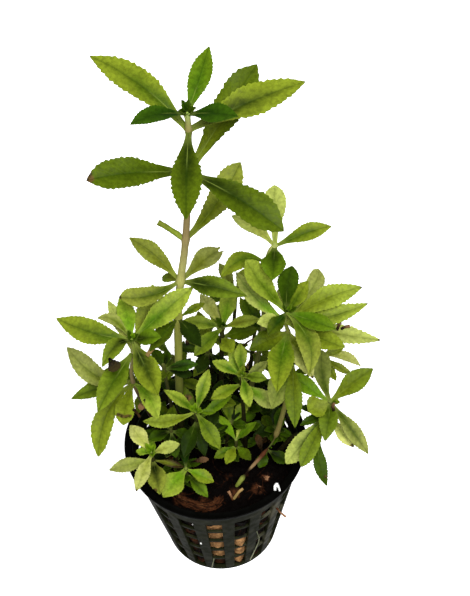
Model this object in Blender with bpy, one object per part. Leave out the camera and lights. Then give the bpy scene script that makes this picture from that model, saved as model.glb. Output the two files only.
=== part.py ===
"""Potted limnophila: a bunch of leafy water-plant shoots in a slotted plastic net pot.

Metres, +Z up. The origin is the centre of the pot's base, on the surface that it stands on, and -Y is
the side that faces the viewer of the photograph.
"""

import math
import random
from collections import Counter

import bmesh
import bpy
from mathutils import Matrix, Vector
from mathutils.bvhtree import BVHTree

MM = 0.001

# Pot
POT_HEIGHT = 46 * MM
RIM_RADIUS = 26.2 * MM
BASE_RADIUS = 16.8 * MM
LIP_WIDTH = 0.9 * MM
LIP_HEIGHT = 1.2 * MM
WALL = 1.2 * MM
RIB_COUNT = 18
RIB_SHARE = 0.44
FIRST_RIB = math.radians(3.8)
SLOT_ROWS = 5
SLOT_PITCH = 7.7 * MM
SLOT_HEIGHT = 6.4 * MM
FIRST_SLOT = 1.9 * MM
BASE_HUB_RADIUS = 5.0 * MM
BASE_SLOT_OUTER_RADIUS = 12.5 * MM

# Growing medium
SOIL_LEVEL = 38 * MM
SOIL_PIT = 1.6 * MM
SOIL_LUMP = 0.7 * MM
SOIL_GAP = 0.55 * MM
SOIL_SIDES = 13
SOIL_BOTTOM = 1.7 * MM
SOIL_LAYERS = 3
SOIL_RINGS = 2

# Stems
CLEARANCE = 0.32 * MM
STEM_SIDES = 5
STEM_END = 0.5 * MM
STEM_TAPER = 0.42
STEM_LEAD = 0.4
STEM_LEAD_RISE = 0.08

# Leaves: shares are of a leaf's length or half width, and stations are shares of its length
LEAF_SHARE = 0.29
LEAF_THICKNESS = 0.5 * MM
LEAF_FOLD = 0.16
LEAF_ARCH = 0.07
LEAF_FACING = Vector((0, -0.3, 1)).normalized()
STALK_SHARE = 0.19
STALK_NARROWNESS = 1.15
WIDEST_AT = {"blade": 0.57, "round": 0.66, "full": 0.47, "bitten": 0.58, "stalk": 0.5}
BLUNTNESS = {"blade": 2, "round": 2.8, "full": 2.1, "bitten": 2, "stalk": 2}
BLADE_STATIONS = (0, 0.32, 0.6, 0.82, 1)
SMALL_BLADE_STATIONS = (0, 0.34, 0.66, 1)
TINY_BLADE_STATIONS = (0, 0.52, 1)
STALK_STATIONS = (0, 0.5, 1)
SMALL_BLADE = 20.2 * MM
TINY_BLADE = 10.6 * MM
BLUNT_FROM = 0.93
BITE_DEPTH = 0.12
USUAL_RISE = math.radians(8)

# How a leaf is fitted in: what of it must be free of its sisters, where it grows from in the stem's
# thickness, and the changes of length that are tried
FREE_FROM = 0.3
ROOTED_AT = 0.72
LENGTH_CHANGES = (1, 1.04, 0.96, 1.08, 1.13, 0.92, 1.19, 1.26)

# The photograph's camera, from which a pixel of the 470 x 596 picture is a line of sight
PICTURE_SIZE = (470, 596)
CAMERA_PLACE = Vector((0, -230.5, 397.1)) * MM
CAMERA_PITCH = math.radians(51.2)
CAMERA_YAW = math.radians(2.05)
CAMERA_ROLL = math.radians(-3.56)
FOCAL_PIXELS = 1453.5

# Leaf tones: linear base colours
TONES = {
    "fresh": (0.17, 0.33, 0.02),
    "light": (0.30, 0.42, 0.06),
    "mid": (0.17, 0.27, 0.02),
    "olive": (0.22, 0.26, 0.05),
    "dark": (0.05, 0.12, 0.01),
    "pale": (0.36, 0.41, 0.14),
    "yellow": (0.46, 0.48, 0.14),
    "brownish": (0.26, 0.22, 0.08),
}


def leaf(x, y, tone, length=None, width=None, rise=None, kind="blade", through=None):
    """A leaf by its tip's pixel, and where its bend is plain, the pixel that its midrib passes halfway.

    Lengths are in millimetres, and rise is in degrees.
    """
    return dict(tip=(x, y), tone=tone, length=length, width=width, rise=rise, kind=kind, through=through)


def whorl(x, y, behind, length, **leaves):
    """A ring of leaves by its pixel, how far it stands behind the pot's axis, and its leaves' length."""
    return dict(pixel=(x, y), behind=behind, length=length, leaves=leaves)


# Each shoot that the picture shows: where its stem leaves the medium, the stem's thickness there, and
# its whorls from the lowest one up. A whorl without leaves is only a bend in a bare stem.
SHOOTS = {
    "tall_stem": dict(root=(-10, -1), thickness=2.1, whorls=[
        whorl(178, 318, 1, 15,
              low_left=leaf(150, 351, "dark"),
              low_right=leaf(201, 347, "dark"),
              low_small=leaf(205, 303, "olive", 8, 2.2)),
        whorl(180.6, 281, 2, 16,
              middle_up_left=leaf(129, 237.5, "olive", 16.8, 4.9, through=(155, 255.5)),
              middle_up_right=leaf(222, 249, "olive", 14, 5.6, kind="bitten", through=(204, 260)),
              middle_left=leaf(119, 297, "brownish", 16, 5.4, kind="round", through=(150, 295.5)),
              middle_right=leaf(247, 296, "dark", 17.5, 5.6, kind="full", through=(212, 286.5)),
              middle_small=leaf(162, 277, "dark", 7, 3.0)),
        whorl(185.6, 240, 3, 22,
              upper_back=leaf(240.5, 162, "olive", 23, 6.8, kind="round", through=(217.5, 202)),
              upper_broken=leaf(158, 222.5, "olive", 7.8, 2.2, kind="stalk")),
        whorl(188.5, 172.6, 4, 25,
              high_left=leaf(86.6, 180, "mid", 25, 7.7, kind="round", through=(137.5, 172.5)),
              high_right=leaf(284, 231, "dark", 27, 8.2, kind="round", through=(235, 196.5)),
              high_back=leaf(257, 64, "olive", 30, 8.0, kind="round", through=(223, 117))),
        whorl(188.6, 130, 4.5, 28,
              top_left=leaf(89.6, 55.7, "light", 29, 7.6, through=(142.5, 86.5)),
              top_front=leaf(186, 219, "dark", 27, 6.8, through=(186.5, 174)),
              top_right=leaf(305.5, 81.4, "light", 29.5, 8.0, through=(247, 103))),
        whorl(187, 114, 5, 17,
              tip_up=leaf(209, 46, "fresh", 18, 5.2, through=(198.5, 81)),
              tip_left=leaf(130.5, 124, "dark", 15.5, 4.5, through=(158.5, 114)),
              tip_right=leaf(237.5, 116, "dark", 14.5, 4.8, through=(212, 113)),
              tip_bud=leaf(182, 100, "dark", 4.5, 1.5, 60)),
    ]),
    "right_tall_stem": dict(root=(8, 3), thickness=1.8, whorls=[
        whorl(262, 335, 5, 10,
              low_dark=leaf(244, 299, "dark", 10, 4.6)),
        whorl(267, 262, 6.5, 13,
              middle_left=leaf(220, 278, "mid", 13.4, 4.6, through=(243, 259))),
        whorl(275, 246, 7.5, 15,
              up=leaf(274, 185, "light", 15.5, 5.8, kind="round", through=(275, 212)),
              right=leaf(331.5, 226, "mid", 14.5, 4.7, through=(304, 233.5)),
              left=leaf(231.5, 215.5, "light", 14, 4.9, through=(253.5, 225.5)),
              front=leaf(272.5, 280, "dark", 11, 6.2)),
    ]),
    "right_shoot": dict(root=(4.8, -11.4), thickness=1.4, whorls=[
        whorl(264, 453, -6, 5),
        whorl(276, 435, -4, 5),
        whorl(288, 392, -3, 12),
        whorl(292, 358, -3, 14,
              broad_down=leaf(272, 409, "brownish", 14, 6.6, kind="full"),
              low_down=leaf(295, 428, "olive", 18, 4.6)),
        whorl(288, 332, -4, 18,
              down=leaf(277, 392, "mid", 20, 6.6, kind="full", through=(281, 360)),
              down_right=leaf(313, 378, "pale", 15.5, 5.6, kind="full"),
              dark_down=leaf(297, 366, "dark", 11, 3.2),
              down_left=leaf(249, 350, "olive", 11.5, 5.6, kind="full")),
        whorl(285, 321, -4, 20,
              back_left=leaf(236, 272, "olive", 17, 4.8, through=(257, 299)),
              back_right=leaf(362, 287, "light", 21, 6.2, through=(323.5, 300)),
              right=leaf(368, 303, "light", 21, 4.8, through=(326.5, 317.5)),
              far_right=leaf(381, 340, "pale", 25, 4.8, through=(333, 332.5)),
              low_right=leaf(345, 347, "olive", 17.5, 5.6, kind="full", through=(320, 338)),
              pale_left=leaf(257, 323, "pale", 8, 4.2),
              back=leaf(319, 269, "brownish", 15.5, 4.6, kind="round", through=(311, 290))),
        whorl(287, 312, -4, 14,
              up_left=leaf(246, 260, "light", 18, 6.2, kind="round", through=(263.5, 286)),
              pale_up=leaf(280, 287, "pale", 7.5, 3.4),
              up_right=leaf(308, 281, "fresh", 10.5, 4.2, through=(298, 296)),
              dark_back=leaf(292, 266, "dark", 13, 5.2, kind="round", through=(287, 288)),
              front_right=leaf(336, 329, "fresh", 14, 5.0, through=(311.5, 320.5)),
              front_down=leaf(309, 375, "mid", 17, 5.6, kind="full", through=(309, 342)),
              dark_front=leaf(268, 335, "dark", 8.5, 3.8),
              bud=leaf(291, 305, "fresh", 2.6, 1.3, 60)),
    ]),
    "middle_shoot": dict(root=(2, 6), thickness=1.6, whorls=[
        whorl(222, 337, 6, 10,
              dark_right=leaf(258, 329, "dark", 10.5, 5.0),
              low_right=leaf(232, 353, "olive", 8, 4.4),
              small_back=leaf(211, 301, "olive", 9, 3.2)),
        whorl(223, 327, 6, 11.5,
              up=leaf(232, 286, "fresh", 11.5, 4.6),
              up_left=leaf(200, 294, "pale", 11.5, 3.8),
              left=leaf(182, 321, "mid", 11, 3.8),
              right=leaf(260, 319, "mid", 10.5, 3.4),
              down_left=leaf(194, 356, "mid", 11.5, 4.2),
              bud=leaf(224, 322, "dark", 2.4, 1.2, 60)),
    ]),
    "left_shoot": dict(root=(-13.5, -1), thickness=2.0, whorls=[
        whorl(133, 382, -6, 18,
              left_up=leaf(67, 347, "olive", 19.5, 5.8, kind="round", through=(98, 377)),
              left_down=leaf(71, 399, "dark", 17, 4.2, through=(100, 388)),
              far_down=leaf(98, 457, "mid", 21.5, 5.7, kind="round", through=(107.5, 412)),
              low_down=leaf(123.5, 425, "olive", 13, 5.0, kind="round", through=(126, 404)),
              down_right=leaf(158, 420, "light", 13, 4.8, through=(149, 397))),
        whorl(133, 352, -7, 16,
              down_left=leaf(98, 412, "mid", 19, 6.4, kind="full", through=(113, 382)),
              small_up_left=leaf(108, 300, "pale", 15, 3.4),
              back_right=leaf(153, 284, "olive", 18, 5.2, through=(145, 318))),
        whorl(132, 340, -7, 18,
              left=leaf(56, 318, "light", 20.5, 6.6, through=(94, 333)),
              small_left=leaf(97, 318, "mid", 10.5, 3.0, through=(114, 320)),
              up=leaf(120, 295, "fresh", 12.5, 4.6, through=(127.5, 317.5)),
              up_right=leaf(193, 287, "light", 20.5, 6.4, 45, through=(162.5, 313)),
              right=leaf(161, 337, "dark", 9, 4.2),
              front_left=leaf(102, 367, "dark", 11.2, 4.3, through=(116, 345.5)),
              down=leaf(158, 395, "mid", 16.5, 6.5, kind="full"),
              bud=leaf(134, 333, "fresh", 2.6, 1.3, 60)),
    ]),
    "star_shoot": dict(root=(8.6, -0.6), thickness=1.4, whorls=[
        whorl(242, 384, -5, 9,
              back_left=leaf(229, 345, "olive", 10, 3.0),
              back_right=leaf(268, 361, "mid", 8.5, 3.0),
              down_left=leaf(211, 399, "mid", 9.5, 3.6),
              down_right=leaf(275, 408, "light", 11.5, 4.4)),
        whorl(242, 376, -5, 9,
              up=leaf(240, 343, "fresh", 9, 3.4),
              up_left=leaf(212, 361, "fresh", 9, 3.2),
              right=leaf(267, 379, "fresh", 7, 3.0),
              down=leaf(250, 407, "fresh", 9, 3.4),
              bud=leaf(243, 372, "fresh", 2.0, 1.0, 60)),
    ]),
    "front_left_shoot": dict(root=(-3.2, -1.8), thickness=1.5, whorls=[
        whorl(197, 420, -6, 11,
              down_left=leaf(184, 457, "dark", 11.5, 4.2),
              back_left=leaf(182, 385, "olive", 10, 3.0, 30),
              low_down=leaf(205, 456, "dark", 10, 3.2),
              right_up=leaf(232, 395, "mid", 11, 3.0),
              small_left=leaf(177, 406, "mid", 7, 2.2)),
        whorl(196, 412, -6.5, 11,
              up=leaf(209, 369, "light", 11.5, 3.6),
              up_left=leaf(164, 390, "light", 11, 3.2),
              left=leaf(143, 421, "light", 14, 3.8, through=(168, 421)),
              down_right=leaf(220, 449, "mid", 12, 4.4),
              small_right=leaf(216, 412, "mid", 5.2, 1.9),
              bud=leaf(198, 408, "fresh", 2.2, 1.1, 60)),
    ]),
    "rim_left_shoot": dict(root=(-15, -10), thickness=1.5, whorls=[
        whorl(153, 460, -12, 11,
              left=leaf(109, 470, "olive", 12.5, 3.9),
              down_right=leaf(160, 494, "brownish", 12, 5.2),
              thin_right=leaf(184, 467, "brownish", 8.5, 2.0)),
        whorl(152, 453, -12, 10,
              up_left=leaf(130, 425, "yellow", 10, 4.4),
              up=leaf(151, 436, "fresh", 5, 1.9),
              right=leaf(180, 444, "yellow", 8.5, 3.6),
              small_left=leaf(136, 451, "fresh", 4.8, 2.2),
              down=leaf(136, 491, "yellow", 12, 3.8),
              bud=leaf(154, 450, "fresh", 2.2, 1.2, 60)),
    ]),
    "small_front_shoot": dict(root=(4.8, -3), thickness=1.2, whorls=[
        whorl(236, 446, -5, 7,
              down_left=leaf(226, 464, "fresh", 6.8, 3.2),
              left=leaf(214, 458, "mid", 7.2, 2.9),
              down_right=leaf(251, 460, "mid", 6.6, 3.0)),
        whorl(236, 440, -5.5, 7,
              up_left=leaf(218, 415, "fresh", 8, 2.8),
              up=leaf(244, 427, "fresh", 4.4, 2.4),
              up_right=leaf(256, 422, "fresh", 7.2, 2.6)),
    ]),
    "front_rim_shoot": dict(root=(-7.5, -11), thickness=1.3, whorls=[
        whorl(187, 474, -11.6, 8,
              low_right=leaf(208, 497, "fresh", 9, 3.4),
              small_down=leaf(187, 482, "olive", 4, 2.2)),
        whorl(186, 469, -11.8, 9,
              up=leaf(184, 441, "dark", 8.5, 3.0),
              left=leaf(163, 497, "light", 10.5, 6.4),
              right=leaf(214, 482, "fresh", 8.6, 3.8)),
    ]),
    "right_low_shoot": dict(root=(16.5, -3), thickness=1.8, whorls=[
        whorl(296, 436, -4, 5),
        whorl(319, 434, -5, 13,
              dark_tip=leaf(327, 486, "dark", 14, 3.8, through=(319.5, 461))),
        whorl(328, 413, -5, 16,
              dark_left=leaf(299, 407, "dark", 9.5, 2.6),
              low_dark=leaf(300, 425, "dark", 9, 2.6),
              down_left=leaf(286, 464, "light", 17.5, 5.4, kind="round", through=(306, 439)),
              low_left=leaf(301, 467, "olive", 16, 4.4, kind="round"),
              low_right=leaf(354, 447, "brownish", 12, 3.6, through=(342, 433))),
        whorl(330, 402, -4, 14,
              up_right=leaf(373, 368.5, "mid", 14.5, 6.1, through=(351.5, 384)),
              up_left=leaf(288, 373, "fresh", 14, 4.8, through=(307, 386)),
              up=leaf(322, 350, "olive", 14.5, 5.2, kind="round", through=(322.5, 376)),
              down=leaf(325, 441, "mid", 11.5, 5.2, kind="full", through=(328.5, 420)),
              right_down=leaf(368.5, 454, "mid", 17.5, 4.4, through=(351, 429)),
              left=leaf(308, 411, "pale", 7.5, 6.4, kind="round"),
              small_right=leaf(340, 402, "mid", 3.2, 1.6)),
    ]),
    "right_back_shoot": dict(root=(17, 5), thickness=1.3, whorls=[
        whorl(322, 356, 8, 9,
              right=leaf(361, 366, "pale", 11, 2.9, through=(343, 355.5)),
              low_right=leaf(352, 374, "olive", 9.5, 2.3, through=(338, 366.5)),
              down=leaf(336, 381, "dark", 8, 2.4),
              up_right=leaf(345, 345, "olive", 7, 3.2)),
    ]),
    "inner_left_shoot": dict(root=(-10, -4.5), thickness=1.3, whorls=[
        whorl(164, 369, -4, 9,
              right_up=leaf(198, 364, "dark", 9.2, 3.0),
              right=leaf(193, 375, "dark", 8.4, 3.2),
              up=leaf(168, 350, "dark", 6, 2.6),
              left_up=leaf(153, 349, "dark", 6.5, 3.2),
              down=leaf(159, 380, "olive", 6, 3.0)),
    ]),
    "inner_back_shoot": dict(root=(-2, 8), thickness=1.3, whorls=[
        whorl(208, 352, 8, 9,
              left=leaf(174, 347, "dark", 9.2, 2.6),
              down_left=leaf(198, 373, "dark", 7.5, 3.8),
              right=leaf(233, 374, "dark", 8.6, 3.0),
              up=leaf(198, 311, "olive", 11.5, 4.2)),
    ]),
    "back_middle_shoot": dict(root=(5, 12), thickness=1.4, whorls=[
        whorl(236, 293, 13, 9,
              up_left=leaf(219, 263, "olive", 9.5, 3.2),
              left=leaf(208, 300, "dark", 9, 3.4),
              back=leaf(247, 268, "olive", 8, 3.4)),
    ]),
    "low_right_sprout": dict(root=(15, 3), thickness=1.2, whorls=[
        whorl(275, 430, 1, 7,
              up_left=leaf(262, 416, "dark", 6, 3.2),
              right=leaf(292, 441, "dark", 6.5, 3.2),
              up=leaf(283, 406, "dark", 8, 3.0)),
    ]),
    "under_left_sprout": dict(root=(-11, -8), thickness=1.2, whorls=[
        whorl(171, 431, -7, 8,
              left=leaf(148, 440, "dark", 7.5, 3.4),
              right=leaf(191, 437, "dark", 7, 3.4),
              up=leaf(173, 405, "dark", 8, 3.0),
              down=leaf(176, 458, "dark", 7.5, 3.2)),
    ]),
    "under_middle_sprout": dict(root=(2.4, -0.6), thickness=1.2, whorls=[
        whorl(231, 424, -2, 8,
              up_left=leaf(225, 393, "mid", 8.5, 3.4),
              up_right=leaf(248, 402, "mid", 8.5, 3.4),
              right=leaf(256, 414, "dark", 8, 3.0)),
    ]),
    "under_inner_sprout": dict(root=(-1.2, 3.4), thickness=1.1, whorls=[
        whorl(215, 402, 1.5, 8,
              left=leaf(196, 388, "dark", 7, 3.2),
              up=leaf(222, 380, "dark", 8, 3.2),
              right=leaf(236, 404, "dark", 7, 3.2),
              down=leaf(212, 428, "dark", 8, 3.4)),
    ]),
    "under_back_sprout": dict(root=(-5.4, 2.2), thickness=1.2, whorls=[
        whorl(186, 392, 1.5, 8,
              left=leaf(160, 384, "dark", 8, 3.4),
              right=leaf(208, 399, "dark", 7.5, 3.2)),
    ]),
    "low_front_sprout": dict(root=(13, -3.5), thickness=1.1, whorls=[
        whorl(267, 450, -3.6, 6,
              down=leaf(259, 468, "dark", 5.8, 3.4),
              right=leaf(288, 463, "dark", 7, 3.6)),
    ]),
}
SEPARATE_LEAVES = ("tall_stem", "right_tall_stem")

# Shoots behind the others: root, top of the stem, all in millimetres, and the first leaf's heading
HIDDEN_SHOOTS = {
    "back_shoot_left": dict(root=(-14, 8), top=(-21, 13, 66), turn=20),
    "back_shoot_middle_left": dict(root=(-8, 14), top=(-10, 19, 62), turn=75),
    "back_shoot_middle": dict(root=(1, 17), top=(1, 23, 66), turn=0),
    "back_shoot_middle_right": dict(root=(10, 15), top=(14, 20, 70), turn=50),
    "back_shoot_right": dict(root=(17, 9), top=(25, 14, 64), turn=10),
}
HIDDEN_THICKNESS = 1.5
HIDDEN_LEAF_LENGTH = 12 * MM
HIDDEN_SHORTER = 0.88
HIDDEN_WHORL_GAP = 9 * MM
HIDDEN_RISE = math.radians(24)


def sight_line(pixel):
    """The direction in which the photograph's camera sees a pixel."""
    forward = Vector((math.sin(CAMERA_YAW) * math.cos(CAMERA_PITCH),
                      math.cos(CAMERA_YAW) * math.cos(CAMERA_PITCH),
                      -math.sin(CAMERA_PITCH)))
    level = Vector((math.cos(CAMERA_YAW), -math.sin(CAMERA_YAW), 0))
    right = level.copy()
    right.rotate(Matrix.Rotation(-CAMERA_ROLL, 3, forward))
    up = right.cross(forward)
    across = (pixel[0] - PICTURE_SIZE[0] / 2) / FOCAL_PIXELS
    down = (pixel[1] - PICTURE_SIZE[1] / 2) / FOCAL_PIXELS
    return (forward + right * across - up * down).normalized()


def seen_at(pixel, behind):
    """The point that a pixel shows, this far behind the pot's axis."""
    line = sight_line(pixel)
    return CAMERA_PLACE + line * ((behind - CAMERA_PLACE.y) / line.y)


def tip_choices(base, tip, length, rise):
    """Where a leaf of this length can end on its tip's line of sight, the likelier rise first."""
    if isinstance(tip, Vector):
        return [tip]
    line = sight_line(tip)
    nearest = CAMERA_PLACE + line * (base - CAMERA_PLACE).dot(line)
    spare = length * length - (nearest - base).length_squared
    if spare <= 0:
        return [nearest]
    reach = math.sqrt(spare)
    ends = [nearest + line * reach, nearest - line * reach]
    return sorted(ends, key=lambda end: abs(math.asin((end - base).normalized().z) - rise))


def blade_half_width(along, kind):
    """Half of a blade's width as a share of its widest, from a narrow stalk at 0 to the point at 1."""
    widest = WIDEST_AT[kind]
    if along < widest:
        share = along / widest
        return STALK_SHARE + (1 - STALK_SHARE) * (share * share * (3 - 2 * share)) ** STALK_NARROWNESS
    return 1 - ((along - widest) / (1 - widest)) ** BLUNTNESS[kind]


def bend_point(base, tip, face, through):
    """What a leaf bends towards, so that it arches over, and its halfway point is seen at its pixel."""
    middle = (base + tip) / 2 + face * LEAF_ARCH * 2 * (tip - base).length
    if through is None:
        return middle
    halfway = (base + middle * 2 + tip) / 4
    line = sight_line(through)
    return (CAMERA_PLACE + line * (halfway - CAMERA_PLACE).dot(line)) * 2 - (base + tip) / 2


def facing_out(solid):
    """The same closed solid, turned right side out where it is inside out."""
    if solid.calc_volume(signed=True) < 0:
        bmesh.ops.reverse_faces(solid, faces=solid.faces)
    return solid


def draw_out(solid, front):
    """Extrudes a bar's end face, and gives the new end face and its ring of points."""
    grown = bmesh.ops.extrude_face_region(solid, geom=[front])["geom"]
    if any(len(edge.link_faces) > 2 for edge in front.edges):
        bmesh.ops.delete(solid, geom=[front], context="FACES_ONLY")
    end = next(item for item in grown if isinstance(item, bmesh.types.BMFace))
    return end, [item for item in grown if isinstance(item, bmesh.types.BMVert)]


def straight_bar(stations, ends_in_point):
    """A three-sided bar along Z, one unit long, with a ring at each station: two edges and a keel."""
    bar = bmesh.new()
    bmesh.ops.create_circle(bar, segments=3, radius=1, cap_ends=True)
    front = next(iter(bar.faces))
    level = stations[0]
    bmesh.ops.translate(bar, verts=bar.verts, vec=(0, 0, level))
    for station in stations[1:]:
        front, ring = draw_out(bar, front)
        bmesh.ops.translate(bar, verts=ring, vec=(0, 0, station - level))
        level = station
    if ends_in_point:
        bmesh.ops.pointmerge(bar, verts=ring, merge_co=(0, 0, level))
    bmesh.ops.recalc_face_normals(bar, faces=bar.faces)
    return bar


def leaf_solid(base, tip, length, width, kind, through=None, swell=0.0, start_at=0.0):
    """A leaf's closed solid: a bar bent up and over between base and tip, widened and folded."""
    run = (tip - base).normalized()
    face = LEAF_FACING - run * run.dot(LEAF_FACING)
    if face.length < 0.2:
        face = Vector((0, -1, 0)) + run * run.y
    face.normalize()
    side = run.cross(face)
    middle = bend_point(base, tip, face, through)
    stations = SMALL_BLADE_STATIONS if length < SMALL_BLADE else BLADE_STATIONS
    if kind == "stalk":
        stations = STALK_STATIONS
    elif length < TINY_BLADE:
        stations = TINY_BLADE_STATIONS
    stations = [start_at] + [station for station in stations if station > start_at]
    pointed = kind in ("blade", "round", "full")
    solid = straight_bar(stations, ends_in_point=pointed)
    for vert in solid.verts:
        along = vert.co.z
        start, end = base.lerp(middle, along), middle.lerp(tip, along)
        up = side.cross((end - start).normalized())
        half = width / 2
        if kind != "stalk":
            half *= blade_half_width(min(along, BLUNT_FROM), kind)
        if pointed and along == 1:
            half = 0
        on_keel = vert.co.y > 0.5
        sideways = 0 if on_keel else math.copysign(half + swell, vert.co.x)
        lift = -LEAF_THICKNESS - swell if on_keel else LEAF_FOLD * half + swell
        vert.co = start.lerp(end, along) + side * sideways + up * lift
    if kind == "bitten":
        bite(solid, base, tip, side)
    return facing_out(solid)


def bite(solid, base, tip, side):
    """Pulls one corner of a blunt leaf's end back, as where something has eaten it."""
    corner = max(solid.verts, key=lambda vert: (vert.co - base).dot((tip - base).normalized())
                 + 0.3 * (vert.co - base).dot(side))
    corner.co = corner.co.lerp(base, BITE_DEPTH)


def smooth_route(points, steps):
    """Points on a smooth curve through the given ones, this many to each stretch."""
    ends = [points[0] * 2 - points[1]] + points + [points[-1] * 2 - points[-2]]
    route = []
    for before, start, end, after in zip(ends, ends[1:], ends[2:], ends[3:]):
        for step in range(steps):
            t = step / steps
            route.append(0.5 * (2 * start + (end - before) * t
                                + (2 * before - 5 * start + 4 * end - after) * t ** 2
                                + (3 * start - before - 3 * end + after) * t ** 3))
    return route + [points[-1]]


def tube(route, radii, sides=STEM_SIDES):
    """A closed round tube along a route."""
    solid = bmesh.new()
    bmesh.ops.create_circle(solid, segments=sides, radius=1, cap_ends=True)
    front = next(iter(solid.faces))
    ring = solid.verts[:]
    overall = (route[-1] - route[0]).normalized()
    guide = Vector((1, 0, 0)) if abs(overall.x) < 0.8 else Vector((0, 0, 1))
    for index, (point, radius) in enumerate(zip(route, radii)):
        if index:
            front, ring = draw_out(solid, front)
        ahead = route[min(index + 1, len(route) - 1)]
        behind = route[max(index - 1, 0)]
        tangent = (ahead - behind).normalized()
        first = (guide - tangent * guide.dot(tangent)).normalized()
        second = tangent.cross(first)
        for place, vert in enumerate(ring):
            angle = math.tau * place / sides
            vert.co = point + (first * math.cos(angle) + second * math.sin(angle)) * radius
    bmesh.ops.recalc_face_normals(solid, faces=solid.faces)
    return solid


def material(name, colour, roughness, metallic=0.0):
    """A plain surface of one colour."""
    made = bpy.data.materials.get(name) or bpy.data.materials.new(name)
    made.use_nodes = True
    surface = made.node_tree.nodes["Principled BSDF"]
    surface.inputs["Base Color"].default_value = (*colour, 1)
    surface.inputs["Roughness"].default_value = roughness
    surface.inputs["Metallic"].default_value = metallic
    return made


def leaf_material(tone):
    """The surface of leaves of one tone."""
    return material(f"leaf_{tone}", TONES[tone], 0.45)


def add_object(name, solid, surface, smooth=40):
    """A named object from a bmesh, shaded smooth except at sharp turns."""
    mesh = bpy.data.meshes.new(name)
    solid.to_mesh(mesh)
    made = bpy.data.objects.new(name, mesh)
    mesh.materials.append(surface)
    mesh.shade_smooth()
    mesh.set_sharp_from_angle(angle=math.radians(smooth))
    bpy.context.scene.collection.objects.link(made)
    return made


def wall_radius(height):
    """The pot wall's outer radius between its ribs."""
    top = RIM_RADIUS - LIP_WIDTH
    return BASE_RADIUS + (top - BASE_RADIUS) * height / POT_HEIGHT


def make_pot():
    """The net pot: a conical wall of ribs and hoops with slots between, and a slotted flat base."""
    columns = 2 * RIB_COUNT
    pitch = math.tau / RIB_COUNT
    profile = [(BASE_HUB_RADIUS, 0), (BASE_SLOT_OUTER_RADIUS, 0), (BASE_RADIUS, 0)]
    for row in range(SLOT_ROWS):
        foot = FIRST_SLOT + row * SLOT_PITCH
        profile += [(wall_radius(foot), foot), (wall_radius(foot + SLOT_HEIGHT), foot + SLOT_HEIGHT)]
    profile += [(wall_radius(POT_HEIGHT - LIP_HEIGHT), POT_HEIGHT - LIP_HEIGHT),
                (wall_radius(POT_HEIGHT), POT_HEIGHT)]
    pot = bmesh.new()
    bmesh.ops.create_grid(pot, x_segments=columns, y_segments=len(profile) - 1, size=1)
    for vert in pot.verts:
        column = round((vert.co.x + 1) / 2 * columns)
        radius, height = profile[round((vert.co.y + 1) / 2 * (len(profile) - 1))]
        turn = pitch * (column // 2) + (pitch * RIB_SHARE if column % 2 else 0)
        turn += FIRST_RIB - pitch * RIB_SHARE / 2
        vert.co = (radius * math.sin(turn), -radius * math.cos(turn), height)
    bmesh.ops.remove_doubles(pot, verts=pot.verts, dist=WALL / 100)
    hub = [edge for edge in pot.edges if edge.is_boundary
           and all(vert.co.z < WALL for vert in edge.verts)]
    bmesh.ops.contextual_create(pot, geom=hub)
    slots = []
    for face in pot.faces:
        middle = face.calc_center_median()
        turn = math.atan2(middle.x, -middle.y) - FIRST_RIB
        on_rib = min(turn % pitch, -turn % pitch) < pitch * RIB_SHARE / 2
        along = math.hypot(middle.x, middle.y)
        in_row = (middle.z - FIRST_SLOT) % SLOT_PITCH < SLOT_HEIGHT
        in_rows = FIRST_SLOT < middle.z < FIRST_SLOT + SLOT_ROWS * SLOT_PITCH
        in_base = middle.z < WALL / 2 and BASE_HUB_RADIUS < along < BASE_SLOT_OUTER_RADIUS
        in_base = in_base and turn % (2 * pitch) < pitch
        if not on_rib and (in_rows and in_row or in_base):
            slots.append(face)
    bmesh.ops.delete(pot, geom=slots, context="FACES")
    bmesh.ops.recalc_face_normals(pot, faces=pot.faces)
    if sum(face.normal.z for face in pot.faces if face.calc_center_median().z < WALL / 2) > 0:
        bmesh.ops.reverse_faces(pot, faces=pot.faces)
    bmesh.ops.solidify(pot, geom=pot.faces, thickness=WALL)
    raise_lip(pot)
    bmesh.ops.dissolve_limit(pot, angle_limit=math.radians(0.5), verts=pot.verts, edges=pot.edges)
    bmesh.ops.recalc_face_normals(pot, faces=pot.faces)
    add_object("net_pot", pot, material("pot_plastic", (0.012, 0.018, 0.014), 0.38), 25)
    return BVHTree.FromBMesh(pot)


def outward(face):
    """True for a face of the wall that looks away from the pot's axis."""
    middle = face.calc_center_median()
    level = Vector((middle.x, middle.y, 0))
    return level.length > BASE_RADIUS * 0.9 and face.normal.dot(level.normalized()) > 0.7


def raise_lip(pot):
    """Raises the lip round the rim from the top band."""
    lip = [face for face in pot.faces if outward(face)
           and face.calc_center_median().z > POT_HEIGHT - LIP_HEIGHT]
    grown = bmesh.ops.extrude_face_region(pot, geom=lip)["geom"]
    bmesh.ops.delete(pot, geom=lip, context="FACES")
    for vert in grown:
        if isinstance(vert, bmesh.types.BMVert):
            vert.co += Vector((vert.co.x, vert.co.y, 0)).normalized() * LIP_WIDTH


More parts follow.
